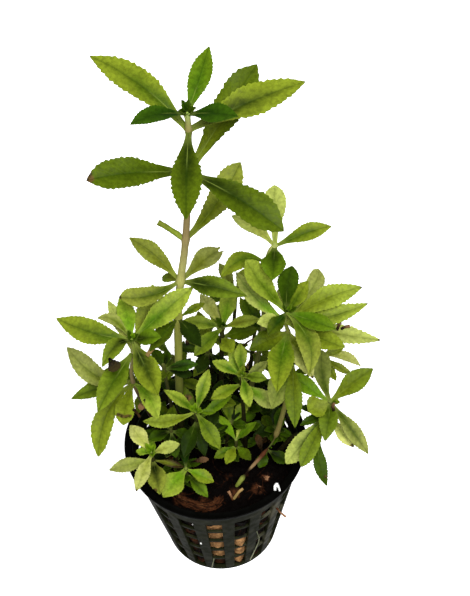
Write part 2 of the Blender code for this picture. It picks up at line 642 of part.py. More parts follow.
def make_medium():
    """The growing medium: a lumpy plug just inside the pot's wall, its top level with shallow pits."""
    rng = random.Random(4)
    depth = SOIL_LEVEL - SOIL_BOTTOM
    plug = bmesh.new()
    bmesh.ops.create_cone(plug, cap_ends=True, segments=SOIL_SIDES, depth=depth, radius1=1, radius2=1)
    bmesh.ops.translate(plug, verts=plug.verts, vec=(0, 0, SOIL_BOTTOM + depth / 2))
    for level in range(1, SOIL_LAYERS):
        height = SOIL_BOTTOM + depth * level / SOIL_LAYERS
        bmesh.ops.bisect_plane(plug, geom=plug.verts[:] + plug.edges[:] + plug.faces[:],
                               plane_co=(0, 0, height), plane_no=(0, 0, 1))
    for vert in plug.verts:
        inside = wall_radius(vert.co.z) - WALL - SOIL_GAP - rng.uniform(0, SOIL_LUMP)
        vert.co.xy = vert.co.xy.normalized() * inside
    top = max(plug.faces, key=lambda face: face.calc_center_median().z)
    for ring in range(SOIL_RINGS):
        bmesh.ops.inset_region(plug, faces=[top], thickness=wall_radius(SOIL_LEVEL) / (SOIL_RINGS + 1))
        for vert in top.verts:
            vert.co.z = SOIL_LEVEL - rng.uniform(0, SOIL_PIT)
    bmesh.ops.poke(plug, faces=[top])
    bmesh.ops.recalc_face_normals(plug, faces=plug.faces)
    add_object("growing_medium", plug, material("medium", (0.05, 0.03, 0.017), 0.95), 30)
    return BVHTree.FromBMesh(plug)


def stem_of(root, whorls, thickness, steps):
    """A stem from the medium through its whorls, thinning upwards, and its radius at each whorl."""
    foot = Vector((root[0] * MM, root[1] * MM, SOIL_LEVEL + CLEARANCE))
    first = whorls[0]
    lead = foot.lerp(first, STEM_LEAD) + Vector((0, 0, STEM_LEAD_RISE * (first.z - foot.z)))
    end = whorls[-1] + (whorls[-1] - (whorls[-2] if len(whorls) > 1 else lead)).normalized() * STEM_END
    route = smooth_route([foot, lead] + whorls + [end], steps)
    last = len(route) - 1
    radii = [thickness / 2 * MM * (1 - STEM_TAPER * index / last) for index in range(len(route))]
    return tube(route, radii), radii[2 * steps::steps]


def clear_of(solid, trees):
    """True where a solid touches none of the trees."""
    own = BVHTree.FromBMesh(solid)
    return not any(own.overlap(tree) for tree in trees)


def place_leaf(start, spec, usual_length, stem_radius, separate, trees, sisters):
    """A leaf's solid, clear of the trees and if it can of its sisters, its tip on its line of sight."""
    length = (spec["length"] or usual_length) * MM
    width = (spec["width"] or LEAF_SHARE * length / MM) * MM
    rise = USUAL_RISE if spec["rise"] is None else math.radians(spec["rise"])
    fallback = None
    for change in LENGTH_CHANGES:
        for tip in tip_choices(start, spec["tip"], length * change, rise):
            gap = stem_radius + 2.2 * CLEARANCE if separate else stem_radius * ROOTED_AT
            base = start + (tip - start).normalized() * gap
            shape = (base, tip, length, width, spec["kind"], spec["through"])
            if not clear_of(leaf_solid(*shape, swell=CLEARANCE), trees):
                continue
            outer = leaf_solid(*shape, start_at=FREE_FROM)
            made = (leaf_solid(*shape), BVHTree.FromBMesh(outer))
            if clear_of(outer, sisters):
                return made
            fallback = fallback or made
    return fallback


def shown_shoots():
    """The shoots that the picture shows: name, where each whorl is, the whorls, the stem and its radii."""
    for name, shoot in SHOOTS.items():
        rings = shoot["whorls"]
        places = [seen_at(ring["pixel"], ring["behind"] * MM) for ring in rings]
        steps = 2 if len(places) > 2 else 1
        yield name, places, rings, *stem_of(shoot["root"], places, shoot["thickness"], steps)


def hidden_shoots():
    """The same for the shoots behind them, with whorls of three leaves, each turned from the one below."""
    for name, shoot in HIDDEN_SHOOTS.items():
        foot = Vector((*shoot["root"], SOIL_LEVEL / MM)) * MM
        top = Vector(shoot["top"]) * MM
        places = [top + (foot - top).normalized() * HIDDEN_WHORL_GAP, top]
        rings = []
        for level, place in enumerate(places):
            leaves = {}
            for index in range(3):
                heading = math.radians(shoot["turn"] + 120 * index + 60 * level)
                out = Vector((math.cos(heading), math.sin(heading), math.tan(HIDDEN_RISE))).normalized()
                tip = place + out * HIDDEN_LEAF_LENGTH * (HIDDEN_SHORTER if level else 1)
                leaves[f"leaf_{level}_{index}"] = dict(leaf(0, 0, "mid"), tip=tip)
            rings.append(dict(length=HIDDEN_LEAF_LENGTH / MM, leaves=leaves))
        yield name, places, rings, *stem_of(shoot["root"], places, HIDDEN_THICKNESS, 1)


def make_shoots(solid_neighbours):
    """Every shoot's stem, and its leaves as keys, tones and solids. A leaf that has no room is left off."""
    shoots = list(shown_shoots()) + list(hidden_shoots())
    trees = {name: [BVHTree.FromBMesh(stem)] for name, _, _, stem, _ in shoots}
    for name, places, rings, stem, radii in shoots:
        separate = name in SEPARATE_LEAVES
        others = [tree for key, group in trees.items() if key != name for tree in group]
        pieces = []
        sisters = []
        for place, ring, radius in zip(places, rings, radii):
            for key, spec in ring["leaves"].items():
                near = solid_neighbours + others + (trees[name] if separate else [])
                made = place_leaf(place, spec, ring["length"], radius, separate, near, sisters)
                if made:
                    solid, outer = made
                    pieces.append((key, spec["tone"], solid))
                    trees[name].append(BVHTree.FromBMesh(solid))
                    sisters.append(outer)
        yield name, stem, pieces


def fuse(name, body, parts, surface):
    """One object from a stem and the leaves that grow from it."""
    grown = add_object(name, body, surface)
    helpers = bpy.data.collections.new(name + "_leaves")
    bpy.context.scene.collection.children.link(helpers)
    for key, _, solid in parts:
        mesh = bpy.data.meshes.new(f"{name}_{key}")
        solid.to_mesh(mesh)
        helper = bpy.data.objects.new(f"{name}_{key}", mesh)
        helper.hide_render = True
        helper.display_type = "WIRE"
        helpers.objects.link(helper)
    union = grown.modifiers.new("leaves", "BOOLEAN")
    union.operation = "UNION"
    union.operand_type = "COLLECTION"
    union.collection = helpers
    union.solver = "EXACT"
    union.use_self = True
    return grown


def main():
    for old in list(bpy.data.objects):
        bpy.data.objects.remove(old, do_unlink=True)
    pot = make_pot()
    medium = make_medium()
    for name, stem, pieces in make_shoots([pot, medium]):
        if name in SEPARATE_LEAVES:
            add_object(name, stem, material("stem", (0.20, 0.15, 0.06), 0.6))
            for key, tone, solid in pieces:
                add_object(f"{name}_leaf_{key}", solid, leaf_material(tone))
        else:
            usual_tone = Counter(tone for _, tone, _ in pieces).most_common(1)[0][0]
            fuse(name, stem, pieces, leaf_material(usual_tone))


main()
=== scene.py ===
"""Potted limnophila: the finished surfaces of its pot, plug, stems and leaves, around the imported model."""

import math
import random

import bmesh
import bpy
from mathutils import Matrix, Vector, noise
from mathutils.kdtree import KDTree


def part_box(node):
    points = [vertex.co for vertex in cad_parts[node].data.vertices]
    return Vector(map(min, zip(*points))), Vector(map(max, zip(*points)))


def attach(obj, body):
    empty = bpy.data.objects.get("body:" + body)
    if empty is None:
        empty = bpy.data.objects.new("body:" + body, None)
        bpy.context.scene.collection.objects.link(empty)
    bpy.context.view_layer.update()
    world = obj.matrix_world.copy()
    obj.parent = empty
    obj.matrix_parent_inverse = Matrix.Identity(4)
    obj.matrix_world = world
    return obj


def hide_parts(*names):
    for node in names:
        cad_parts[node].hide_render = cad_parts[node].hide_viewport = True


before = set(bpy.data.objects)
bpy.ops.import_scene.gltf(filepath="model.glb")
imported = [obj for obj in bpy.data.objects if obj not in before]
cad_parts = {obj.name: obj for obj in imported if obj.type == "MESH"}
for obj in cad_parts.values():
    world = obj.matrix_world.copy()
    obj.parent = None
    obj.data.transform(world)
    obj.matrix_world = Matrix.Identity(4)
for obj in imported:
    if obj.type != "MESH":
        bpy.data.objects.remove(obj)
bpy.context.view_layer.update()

# The camera
# The picture was taken from in front of the pot and well above it, with a long lens. A pixel of the
# 470 x 596 picture is a line of sight from here, which is how a leaf's tip or a crumb finds its place.
MM = 0.001
PICTURE_SIZE = (470, 596)
CAMERA_PLACE = Vector((0, -230.5, 397.1)) * MM
CAMERA_PITCH = math.radians(51.2)
CAMERA_YAW = math.radians(2.05)
CAMERA_ROLL = math.radians(-3.56)
FOCAL_PIXELS = 1453.5
SENSOR = 36
NEAREST_SEEN = 10 * MM


def camera_axes():
    """The camera's right, up and forward directions."""
    forward = Vector((math.sin(CAMERA_YAW) * math.cos(CAMERA_PITCH),
                      math.cos(CAMERA_YAW) * math.cos(CAMERA_PITCH),
                      -math.sin(CAMERA_PITCH)))
    right = Vector((math.cos(CAMERA_YAW), -math.sin(CAMERA_YAW), 0))
    right.rotate(Matrix.Rotation(-CAMERA_ROLL, 3, forward))
    return right, right.cross(forward), forward


def sight_line(pixel):
    """The direction in which the camera sees a pixel."""
    right, up, forward = camera_axes()
    across = (pixel[0] - PICTURE_SIZE[0] / 2) / FOCAL_PIXELS
    down = (pixel[1] - PICTURE_SIZE[1] / 2) / FOCAL_PIXELS
    return (forward + right * across - up * down).normalized()


def seen_at(pixel, behind):
    """The point that a pixel shows, this far behind the pot's axis."""
    line = sight_line(pixel)
    return CAMERA_PLACE + line * ((behind - CAMERA_PLACE.y) / line.y)


def seen_at_height(pixel, height):
    """The point that a pixel shows at this height."""
    line = sight_line(pixel)
    return CAMERA_PLACE + line * ((height - CAMERA_PLACE.z) / line.z)


def in_scene(name, data):
    """A new object in the scene."""
    made = bpy.data.objects.new(name, data)
    bpy.context.scene.collection.objects.link(made)
    return made


camera = in_scene("camera", bpy.data.cameras.new("camera"))
camera.data.sensor_width = SENSOR
camera.data.lens = FOCAL_PIXELS * SENSOR / PICTURE_SIZE[1]
camera.data.clip_start = NEAREST_SEEN
right, up, forward = camera_axes()
camera.matrix_world = Matrix.Translation(CAMERA_PLACE) @ Matrix((right, up, -forward)).transposed().to_4x4()
bpy.context.scene.camera = camera

# The net pot
# One moulding of dark green-black plastic: a cone of flat upright ribs with thin hoops set back behind
# them, a plain band and a thin lip at the top, and a flat slotted base.
POT_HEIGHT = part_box("net_pot")[1].z
RIM_RADIUS = 26.2 * MM
BASE_RADIUS = 16.8 * MM
BASE_ROUNDING = 0.5 * MM
LIP_WIDTH = 0.9 * MM
LIP_HEIGHT = 1.2 * MM
WALL = 1.2 * MM
RIB_PROUD = 0.45 * MM
RIB_COUNT = 18
RIB_PITCH = math.tau / RIB_COUNT
RIB_SHARE = 0.44
FIRST_RIB = math.radians(3.8)
SLOT_ROWS = 5
SLOT_PITCH = 7.7 * MM
SLOT_HEIGHT = 6.4 * MM
FIRST_SLOT = 1.9 * MM
SLOTS_END = FIRST_SLOT + SLOT_ROWS * SLOT_PITCH - SLOT_PITCH + SLOT_HEIGHT
BASE_HUB_RADIUS = 5.0 * MM
BASE_SLOT_OUTER_RADIUS = 12.5 * MM
FACETS = 3
EDGE_ROUNDING = 0.14 * MM
LOOKS_OUT = 0.7
# Painted sheen: from and to where along x the film is painted paler on the right side, and that sheen's
# colour
RIGHT_SHEEN_SPAN = (3 * MM, 20 * MM)
CLEAN_PLASTIC = (0.008, 0.0095, 0.0030, 1)
FILMED_PLASTIC = (0.021, 0.0220, 0.0095, 1)
RIGHT_SIDE_SHEEN = (0.120, 0.112, 0.074, 1)
# Painted sheen: the colour of a pale line just under the lip
SHEEN_UNDER_LIP = (0.034, 0.046, 0.036, 1)
# Painted shade: the near black of the lip
LIP_SHADE_BLACK = (0.0008, 0.0008, 0.0006, 1)


def wall_radius(height):
    """The outer radius of the pot's ribs at this height."""
    top = RIM_RADIUS - LIP_WIDTH
    return BASE_RADIUS + (top - BASE_RADIUS) * height / POT_HEIGHT


def rib_turn(column):
    """The heading of a column of the pot's mesh, which has some facets to a rib and as many to a slot."""
    place, step = divmod(column, 2 * FACETS)
    over_rib = RIB_SHARE * min(step, FACETS) / FACETS
    past_rib = (1 - RIB_SHARE) * max(step - FACETS, 0) / FACETS
    return FIRST_RIB + RIB_PITCH * (place + over_rib + past_rib - RIB_SHARE / 2)


def pot_profile():
    """The radius and height of each level of the pot's wall behind its ribs, from its centre up."""
    flat_radius = BASE_RADIUS - 2 * BASE_ROUNDING
    levels = [(radius, 0) for radius in (0, BASE_HUB_RADIUS, BASE_SLOT_OUTER_RADIUS, flat_radius)]
    heights = [BASE_ROUNDING]
    for row in range(SLOT_ROWS):
        foot = FIRST_SLOT + row * SLOT_PITCH
        heights += [foot, foot + SLOT_HEIGHT / 2, foot + SLOT_HEIGHT]
    heights += [POT_HEIGHT - 3 * LIP_HEIGHT, POT_HEIGHT - LIP_HEIGHT, POT_HEIGHT]
    return levels + [(wall_radius(height) - RIB_PROUD, height) for height in heights]


def turn_of(point):
    """The heading of a place round the pot's axis, from the front."""
    return math.atan2(point.x, -point.y)


def on_rib(point):
    """True where a place's heading falls on a rib."""
    turn = turn_of(point) - FIRST_RIB
    return min(turn % RIB_PITCH, -turn % RIB_PITCH) < RIB_PITCH * RIB_SHARE / 2


def in_slot(face):
    """True for a face of the wall or base where the pot is open."""
    middle = face.calc_center_median()
    if on_rib(middle):
        return False
    if middle.z < BASE_ROUNDING / 2:
        along = math.hypot(middle.x, middle.y)
        on_open_pitch = (turn_of(middle) - FIRST_RIB) % (2 * RIB_PITCH) < RIB_PITCH
        return BASE_HUB_RADIUS < along < BASE_SLOT_OUTER_RADIUS and on_open_pitch
    row = (middle.z - FIRST_SLOT) / SLOT_PITCH
    return 0 < row < SLOT_ROWS and row % 1 < SLOT_HEIGHT / SLOT_PITCH


def outward(face):
    """How far a face of the pot looks away from the pot's axis, from 1 to -1."""
    middle = face.calc_center_median()
    return face.normal.dot(Vector((middle.x, middle.y, 0)).normalized())


def stands_proud(face):
    """True for an outer face of the wall that is on a rib, or on the bands above and below the slots."""
    middle = face.calc_center_median()
    at_face = math.hypot(middle.x, middle.y) > wall_radius(middle.z) - 2 * RIB_PROUD
    on_wall = middle.z > BASE_ROUNDING and outward(face) > LOOKS_OUT
    on_band = middle.z < FIRST_SLOT or middle.z > SLOTS_END
    return at_face and on_wall and (on_rib(middle) or on_band)


def push_out(solid, faces, amount):
    """Raises some of the wall's outer faces away from the pot's axis."""
    grown = bmesh.ops.extrude_face_region(solid, geom=faces)["geom"]
    bmesh.ops.delete(solid, geom=faces, context="FACES")
    raised = [item for item in grown if isinstance(item, bmesh.types.BMVert)]
    for vert in raised:
        vert.co += Vector((vert.co.x, vert.co.y, 0)).normalized() * amount
    return [item for item in grown if isinstance(item, bmesh.types.BMFace)]


def pot_mesh():
    """The pot as one closed mesh."""
    profile = pot_profile()
    columns = RIB_COUNT * 2 * FACETS
    pot = bmesh.new()
    bmesh.ops.create_grid(pot, x_segments=columns, y_segments=len(profile) - 1, size=1)
    for vert in pot.verts:
        turn = rib_turn(round((vert.co.x + 1) / 2 * columns))
        radius, height = profile[round((vert.co.y + 1) / 2 * (len(profile) - 1))]
        vert.co = (radius * math.sin(turn), -radius * math.cos(turn), height)
    bmesh.ops.remove_doubles(pot, verts=pot.verts, dist=WALL / 100)
    bmesh.ops.delete(pot, geom=[face for face in pot.faces if in_slot(face)], context="FACES")
    bmesh.ops.recalc_face_normals(pot, faces=pot.faces)
    if sum(outward(face) for face in pot.faces) < 0:
        bmesh.ops.reverse_faces(pot, faces=pot.faces)
    bmesh.ops.solidify(pot, geom=pot.faces, thickness=WALL - RIB_PROUD)
    bmesh.ops.recalc_face_normals(pot, faces=pot.faces)
    raised = push_out(pot, [face for face in pot.faces if stands_proud(face)], RIB_PROUD)
    lip = [face for face in raised if face.calc_center_median().z > POT_HEIGHT - LIP_HEIGHT]
    push_out(pot, lip, LIP_WIDTH)
    bmesh.ops.recalc_face_normals(pot, faces=pot.faces)
    return pot


def piece(name, solid, materials, node_names, smooth):
    """A finished piece from a bmesh, smooth up to an angle, that stands for some CAD nodes or none."""
    mesh = bpy.data.meshes.new(name)
    solid.to_mesh(mesh)
    solid.free()
    for surface in materials:
        mesh.materials.append(surface)
    mesh.shade_smooth()
    mesh.set_sharp_from_angle(angle=math.radians(smooth))
    made = in_scene(name, mesh)
    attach(made, "root")
    if node_names:
        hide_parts(*node_names)
    return made


def add_node(tree, kind, values=None, **settings):
    """A shader node. Its values go by input, and each is a number, a colour, or another node's output."""
    made = tree.nodes.new("ShaderNode" + kind)
    for key, value in settings.items():
        setattr(made, key, value)
    for key, value in (values or {}).items():
        if isinstance(value, bpy.types.NodeSocket):
            tree.links.new(value, made.inputs[key])
        else:
            made.inputs[key].default_value = value
    return made


def new_material(name):
    """A material's node tree, its Principled BSDF and its Object coordinates."""
    made = bpy.data.materials.new(name)
    made.use_nodes = True
    tree = made.node_tree
    return made, tree, tree.nodes["Principled BSDF"], tree.nodes.new("ShaderNodeTexCoord").outputs["Object"]


def mix(tree, share, first, second):
    """A colour between two others."""
    made = add_node(tree, "Mix", {0: share, 6: first, 7: second}, data_type="RGBA")
    return made.outputs[2]


def fade(tree, value, low, high, to_low=0.0, to_high=1.0):
    """A number that goes smoothly from one value to another as the input goes from low to high."""
    limits = {"Value": value, "From Min": low, "From Max": high, "To Min": to_low, "To Max": to_high}
    return add_node(tree, "MapRange", limits, interpolation_type="SMOOTHSTEP").outputs[0]


def grain_group():
    """Uneven grain that every finish has at its own scale: noise, and a mask of where it is high."""
    group = bpy.data.node_groups.new("uneven_grain", "ShaderNodeTree")
    group.interface.new_socket("Place", in_out="INPUT", socket_type="NodeSocketVector")
    for socket in ("Scale", "Detail", "Low", "High"):
        group.interface.new_socket(socket, in_out="INPUT", socket_type="NodeSocketFloat")
    for socket in ("Noise", "Mask"):
        group.interface.new_socket(socket, in_out="OUTPUT", socket_type="NodeSocketFloat")
    given = group.nodes.new("NodeGroupInput").outputs
    noise_node = add_node(group, "TexNoise", {"Vector": given["Place"], "Scale": given["Scale"],
                                              "Detail": given["Detail"], "Roughness": 0.58})
    result = group.nodes.new("NodeGroupOutput").inputs
    group.links.new(noise_node.outputs["Fac"], result["Noise"])
    group.links.new(fade(group, noise_node.outputs["Fac"], given["Low"], given["High"]), result["Mask"])
    return group


def grain(tree, place, scale, detail=3.0):
    """Noise of this many lumps to a metre."""
    values = {"Place": place, "Scale": scale, "Detail": detail}
    return add_node(tree, "Group", values, node_tree=UNEVEN_GRAIN).outputs["Noise"]


def patches(tree, place, scale, low, high, detail=3.0):
    """A mask of the patches where noise of this many lumps to a metre passes from low to high."""
    values = {"Place": place, "Scale": scale, "Detail": detail, "Low": low, "High": high}
    return add_node(tree, "Group", values, node_tree=UNEVEN_GRAIN).outputs["Mask"]


def reckon(tree, operation, first, second=0.0):
    """A sum, difference or other result of two numbers."""
    return add_node(tree, "Math", {0: first, 1: second}, operation=operation).outputs[0]


def product(tree, first, *others):
    """A number times one or more others."""
    for other in others:
        first = reckon(tree, "MULTIPLY", first, other)
    return first


def shifted(tree, value, by, middle, amount):
    """A number plus this much of how far another is from its middle."""
    return reckon(tree, "ADD", value, product(tree, reckon(tree, "SUBTRACT", by, middle), amount))


def bump(tree, height, strength, depth):
    """Normals of a surface that rises and falls by depth."""
    values = {"Height": height, "Strength": strength, "Distance": depth}
    return add_node(tree, "Bump", values).outputs["Normal"]


def finish(tree, shader, colour, roughness, normal, gloss):
    """Gives a shader its colour, roughness and normals, which change over the surface, and its gloss."""
    for socket, value in (("Base Color", colour), ("Roughness", roughness), ("Normal", normal)):
        tree.links.new(value, shader.inputs[socket])
    shader.inputs["Specular IOR Level"].default_value = gloss


def attribute(tree, name, output="Fac"):
    """One of the mesh's own values."""
    return add_node(tree, "Attribute", attribute_name=name).outputs[output]


UNEVEN_GRAIN = grain_group()


def pot_plastic():
    """Dark plastic with a film in patches, a painted sheen on the film towards the right side, a painted
    sheen line under the lip, and a lip painted near black as shade.
    """
    surface, tree, shader, place = new_material("pot_plastic")
    film = patches(tree, place, 140, 0.45, 0.7, 5)
    wall = mix(tree, film, CLEAN_PLASTIC, FILMED_PLASTIC)
    parts = add_node(tree, "SeparateXYZ", {0: place}).outputs
    # Painted sheen: the film turns paler towards the right side, where the key light falls
    right_sheen = product(tree, film, fade(tree, parts["X"], *RIGHT_SHEEN_SPAN, 0, 0.9))
    wall = mix(tree, right_sheen, wall, RIGHT_SIDE_SHEEN)
    height = parts["Z"]
    # Painted sheen: a pale line along the wall just under the lip
    near_lip = fade(tree, height, POT_HEIGHT - 1.5 * LIP_HEIGHT, POT_HEIGHT - 1.1 * LIP_HEIGHT)
    lip_sheen = product(tree, near_lip, fade(tree, grain(tree, place, 300, 3), 0.35, 0.6, 0.25, 0.9))
    wall = mix(tree, lip_sheen, wall, SHEEN_UNDER_LIP)
    # Painted shade: the lip and the top of the inside are painted near black, on the same plastic as the
    # wall
    lip = fade(tree, height, POT_HEIGHT - LIP_HEIGHT, POT_HEIGHT - 0.4 * LIP_HEIGHT)
    roughness = fade(tree, grain(tree, place, 420, 4), 0.3, 0.75, 0.3, 0.55)
    normal = bump(tree, grain(tree, place, 2600, 2), 0.25, 0.06 * MM)
    finish(tree, shader, mix(tree, lip, wall, LIP_SHADE_BLACK), roughness, normal, 0.03)
    return surface


pot = piece("net_pot_moulding", pot_mesh(), [pot_plastic()], ["net_pot"], 30)
rounding = pot.modifiers.new("moulded edges", "BEVEL")
rounding.width = EDGE_ROUNDING
rounding.segments = 2
rounding.limit_method = "ANGLE"
rounding.angle_limit = math.radians(38)
rounding.use_clamp_overlap = True

# The growing medium
# A plug of brown plant fibre that fills the pot to a little below its rim. It bulges into the slots,
# where it is dry and tan, and its top is painted nearly black as painted shade, with torn reddish patches
# and a fibrous edge.
SOIL_LEVEL = 38 * MM
SOIL_BOTTOM = 1.7 * MM
PLUG_GAP = 0.25 * MM
PLUG_SEED = 11
PLUG_AROUND = 252
PLUG_SIDE_ROWS = 76
PLUG_TOP_ROWS = 52
PLUG_BASE_ROWS = 8
SIDE_LUMPS = 0.9 * MM
TOP_LUMPS = 1.5 * MM
LUMP_SIZE = 4.5 * MM
TAN_SWELL = 0.75 * MM
# Columns of slots where the plug is dry and tan, by their place from the first rib: from and to what height
TAN_COLUMNS = {-1: (9 * MM, POT_HEIGHT), 0: (5 * MM, 23.5 * MM)}
# Patches of torn, dry stuff on the plug's top: pixel, radius in millimetres, and how tan they are
TOP_PATCHES = (
    ((257, 488), 2.4, 0.42), ((267, 477), 2.0, 0.45), ((235, 493), 2.4, 0.45),
    ((228, 476), 1.8, 0.25), ((176, 458), 2.2, 0.35), ((196, 466), 2.0, 0.3),
    ((246, 474), 1.4, 0.2), ((180, 498), 3.0, 0.5), ((205, 505), 3.4, 0.55),
)
FIBRE_COUNT = 230
FIBRE_LENGTHS = (2.5 * MM, 8 * MM)
FIBRE_RADII = (0.05 * MM, 0.13 * MM)
FIBRE_LIFTS = (0.05, 0.3)
EDGE_ROUTE = ((170, 489), (177, 497), (187, 503), (200, 507), (212, 507), (219, 501), (221, 495))
EDGE_WIDTH = 2.6 * MM
EDGE_RISE = 1.2 * MM
EDGE_FIBRES = 210
EDGE_FIBRE_RADII = (0.07, 0.22)
BACK_LIFT = 1.9
EDGE_DIP = 0.5
# Painted shade: the near black of the plug's top
SHADE_BLACK_FIBRE = (0.0013, 0.0006, 0.0004, 1)
DAMP_FIBRE = (0.062, 0.021, 0.008, 1)
DRY_FIBRE = (0.44, 0.235, 0.095, 1)


def lumps(point, size, octaves=4):
    """Uneven rises and falls of this size, from about -1 to 1."""
    return noise.fractal(point / size, 0.9, 2.1, octaves)


def plug_rows():
    """Each row of the plug's mesh: its part, and its share of the base's radius, the height or the top's."""
    rows = [("base", index / PLUG_BASE_ROWS) for index in range(PLUG_BASE_ROWS)]
    rows += [("side", index / PLUG_SIDE_ROWS) for index in range(PLUG_SIDE_ROWS)]
    return rows + [("top", 1 - index / PLUG_TOP_ROWS) for index in range(PLUG_TOP_ROWS + 1)]


def slot_column(turn):
    """Which column of slots a heading falls in, and how far it is from that column's middle, from 0 to 1."""
    column = (turn - FIRST_RIB) / RIB_PITCH - 0.5
    nearest = round(column)
    return nearest, min(abs(column - nearest) * 2 / (1 - RIB_SHARE), 1)


def slot_bulge(turn, height):
    """How far the plug swells out at this place, from 0 behind the plastic to 1 in a slot's middle."""
    row = (height - FIRST_SLOT) / SLOT_PITCH % 1 * SLOT_PITCH / SLOT_HEIGHT
    if row > 1 or height > FIRST_SLOT + SLOT_ROWS * SLOT_PITCH:
        return 0
    return (1 - slot_column(turn)[1] ** 2) * (1 - (2 * row - 1) ** 4)


def top_rise(point):
    """How much a place on the plug's level top is lifted by its lumps, from about -1 to 1."""
    return lumps(point, LUMP_SIZE * 1.3) + 0.4 * lumps(point, LUMP_SIZE / 4)


def plug_tan(point):
    """How dry and tan the plug is at a place, from 0, nearly black with painted shade, to 1, orange tan."""
    # Painted shade: the plug's top is painted near black, as if in the shade of the leaves
    if point.z > SOIL_LEVEL - 2.5 * MM:
        tan = 0.02 + 0.1 * lumps(point, 2.2 * MM)
        for pixel, radius, amount in TOP_PATCHES:
            apart = (seen_at_height(pixel, SOIL_LEVEL) - point).length / (radius * MM)
            tan += amount * max(0, 1 - apart ** 2) * (0.65 + 0.6 * lumps(point, 1.4 * MM))
        return max(0, min(1, tan))
    column = slot_column(turn_of(point))[0]
    if column not in TAN_COLUMNS:
        return max(0, min(1, 0.17 + 0.25 * lumps(point, 4 * MM)))
    low, high = TAN_COLUMNS[column]
    if point.z > high:
        return 0.1
    return max(0, min(1, 0.75 + 0.25 * lumps(point, 2.4 * MM))) if point.z > low else 0.25


def plug_mesh():
    """The plug as one closed mesh, with how tan it is at each point."""
    rows = plug_rows()
    plug = bmesh.new()
    tan = plug.verts.layers.float.new("tan")
    bmesh.ops.create_grid(plug, x_segments=PLUG_AROUND, y_segments=len(rows) - 1, size=1)
    for vert in plug.verts:
        turn = math.tau * round((vert.co.x + 1) / 2 * PLUG_AROUND) / PLUG_AROUND
        part, share = rows[round((vert.co.y + 1) / 2 * (len(rows) - 1))]
        heading = Vector((math.sin(turn), -math.cos(turn), 0))
        if part == "base":
            inside = wall_radius(SOIL_BOTTOM) - WALL - PLUG_GAP
            point = heading * inside * share + Vector((0, 0, SOIL_BOTTOM))
        elif part == "side":
            height = SOIL_BOTTOM + (SOIL_LEVEL - SOIL_BOTTOM) * share
            rough = heading * wall_radius(height) + Vector((0, 0, height))
            inside = wall_radius(height) - WALL - PLUG_GAP + SIDE_LUMPS * lumps(rough, LUMP_SIZE) * 0.35
            bulge = slot_bulge(turn, height)
            inside += bulge * SIDE_LUMPS * (0.55 + 0.75 * lumps(rough, LUMP_SIZE / 1.6))
            if slot_column(turn)[0] in TAN_COLUMNS:
                inside += bulge * TAN_SWELL
            point = heading * inside + Vector((0, 0, height))
        else:
            inside = wall_radius(SOIL_LEVEL) - WALL - PLUG_GAP
            point = heading * inside * share + Vector((0, 0, SOIL_LEVEL))
            at_rim = BACK_LIFT * min(1, max(0, heading.y + 0.6)) - EDGE_DIP
            point.z += TOP_LUMPS * (0.6 * top_rise(point) + at_rim * share ** 6)
        vert.co = point
        vert[tan] = plug_tan(point)
    bmesh.ops.remove_doubles(plug, verts=plug.verts, dist=0.01 * MM)
    bmesh.ops.recalc_face_normals(plug, faces=plug.faces)
    return plug


def smooth_route(points, steps):
    """Points on a smooth curve through the given ones, this many to each stretch."""
    ends = [points[0] * 2 - points[1]] + points + [points[-1] * 2 - points[-2]]
    route = []
    for before, start, end, after in zip(ends, ends[1:], ends[2:], ends[3:]):
        for step in range(steps):
            t = step / steps
            route.append(0.5 * (2 * start + (end - before) * t
                                + (2 * before - 5 * start + 4 * end - after) * t ** 2
                                + (3 * start - before - 3 * end + after) * t ** 3))
    return route + [points[-1]]


def add_tube(solid, route, radii, sides, uneven=0.0):
    """A closed round tube along a route, and its points, each with its share of the way along."""
    rows = len(route) - 1
    made = bmesh.ops.create_grid(solid, x_segments=sides, y_segments=rows, size=1)["verts"]
    overall = (route[-1] - route[0]).normalized()
    guide = Vector((1, 0, 0)) if abs(overall.x) < 0.8 else Vector((0, 0, 1))
    shares = {}
    for vert in made:
        row = round((vert.co.y + 1) / 2 * rows)
        angle = math.tau * (round((vert.co.x + 1) / 2 * sides) % sides) / sides
        tangent = (route[min(row + 1, rows)] - route[max(row - 1, 0)]).normalized()
        first = (guide - tangent * guide.dot(tangent)).normalized()
        out = first * math.cos(angle) + tangent.cross(first) * math.sin(angle)
        radius = radii[row] * (1 + uneven * lumps(route[row] + out * radii[row], 1.5 * MM, 2))
        vert.co = route[row] + out * radius
        shares[vert] = row / rows
    edges = {edge for vert in made for edge in vert.link_edges if edge.is_boundary}
    seam = {vert for edge in edges for vert in edge.verts}
    bmesh.ops.remove_doubles(solid, verts=list(seam), dist=0.001 * MM)
    made = [vert for vert in made if vert.is_valid]
    ends = {edge for vert in made for edge in vert.link_edges if edge.is_boundary}
    caps = bmesh.ops.holes_fill(solid, edges=list(ends), sides=0)["faces"]
    faces = {face for vert in made for face in vert.link_faces} | set(caps)
    bmesh.ops.recalc_face_normals(solid, faces=list(faces))
    return {vert: shares[vert] for vert in made}


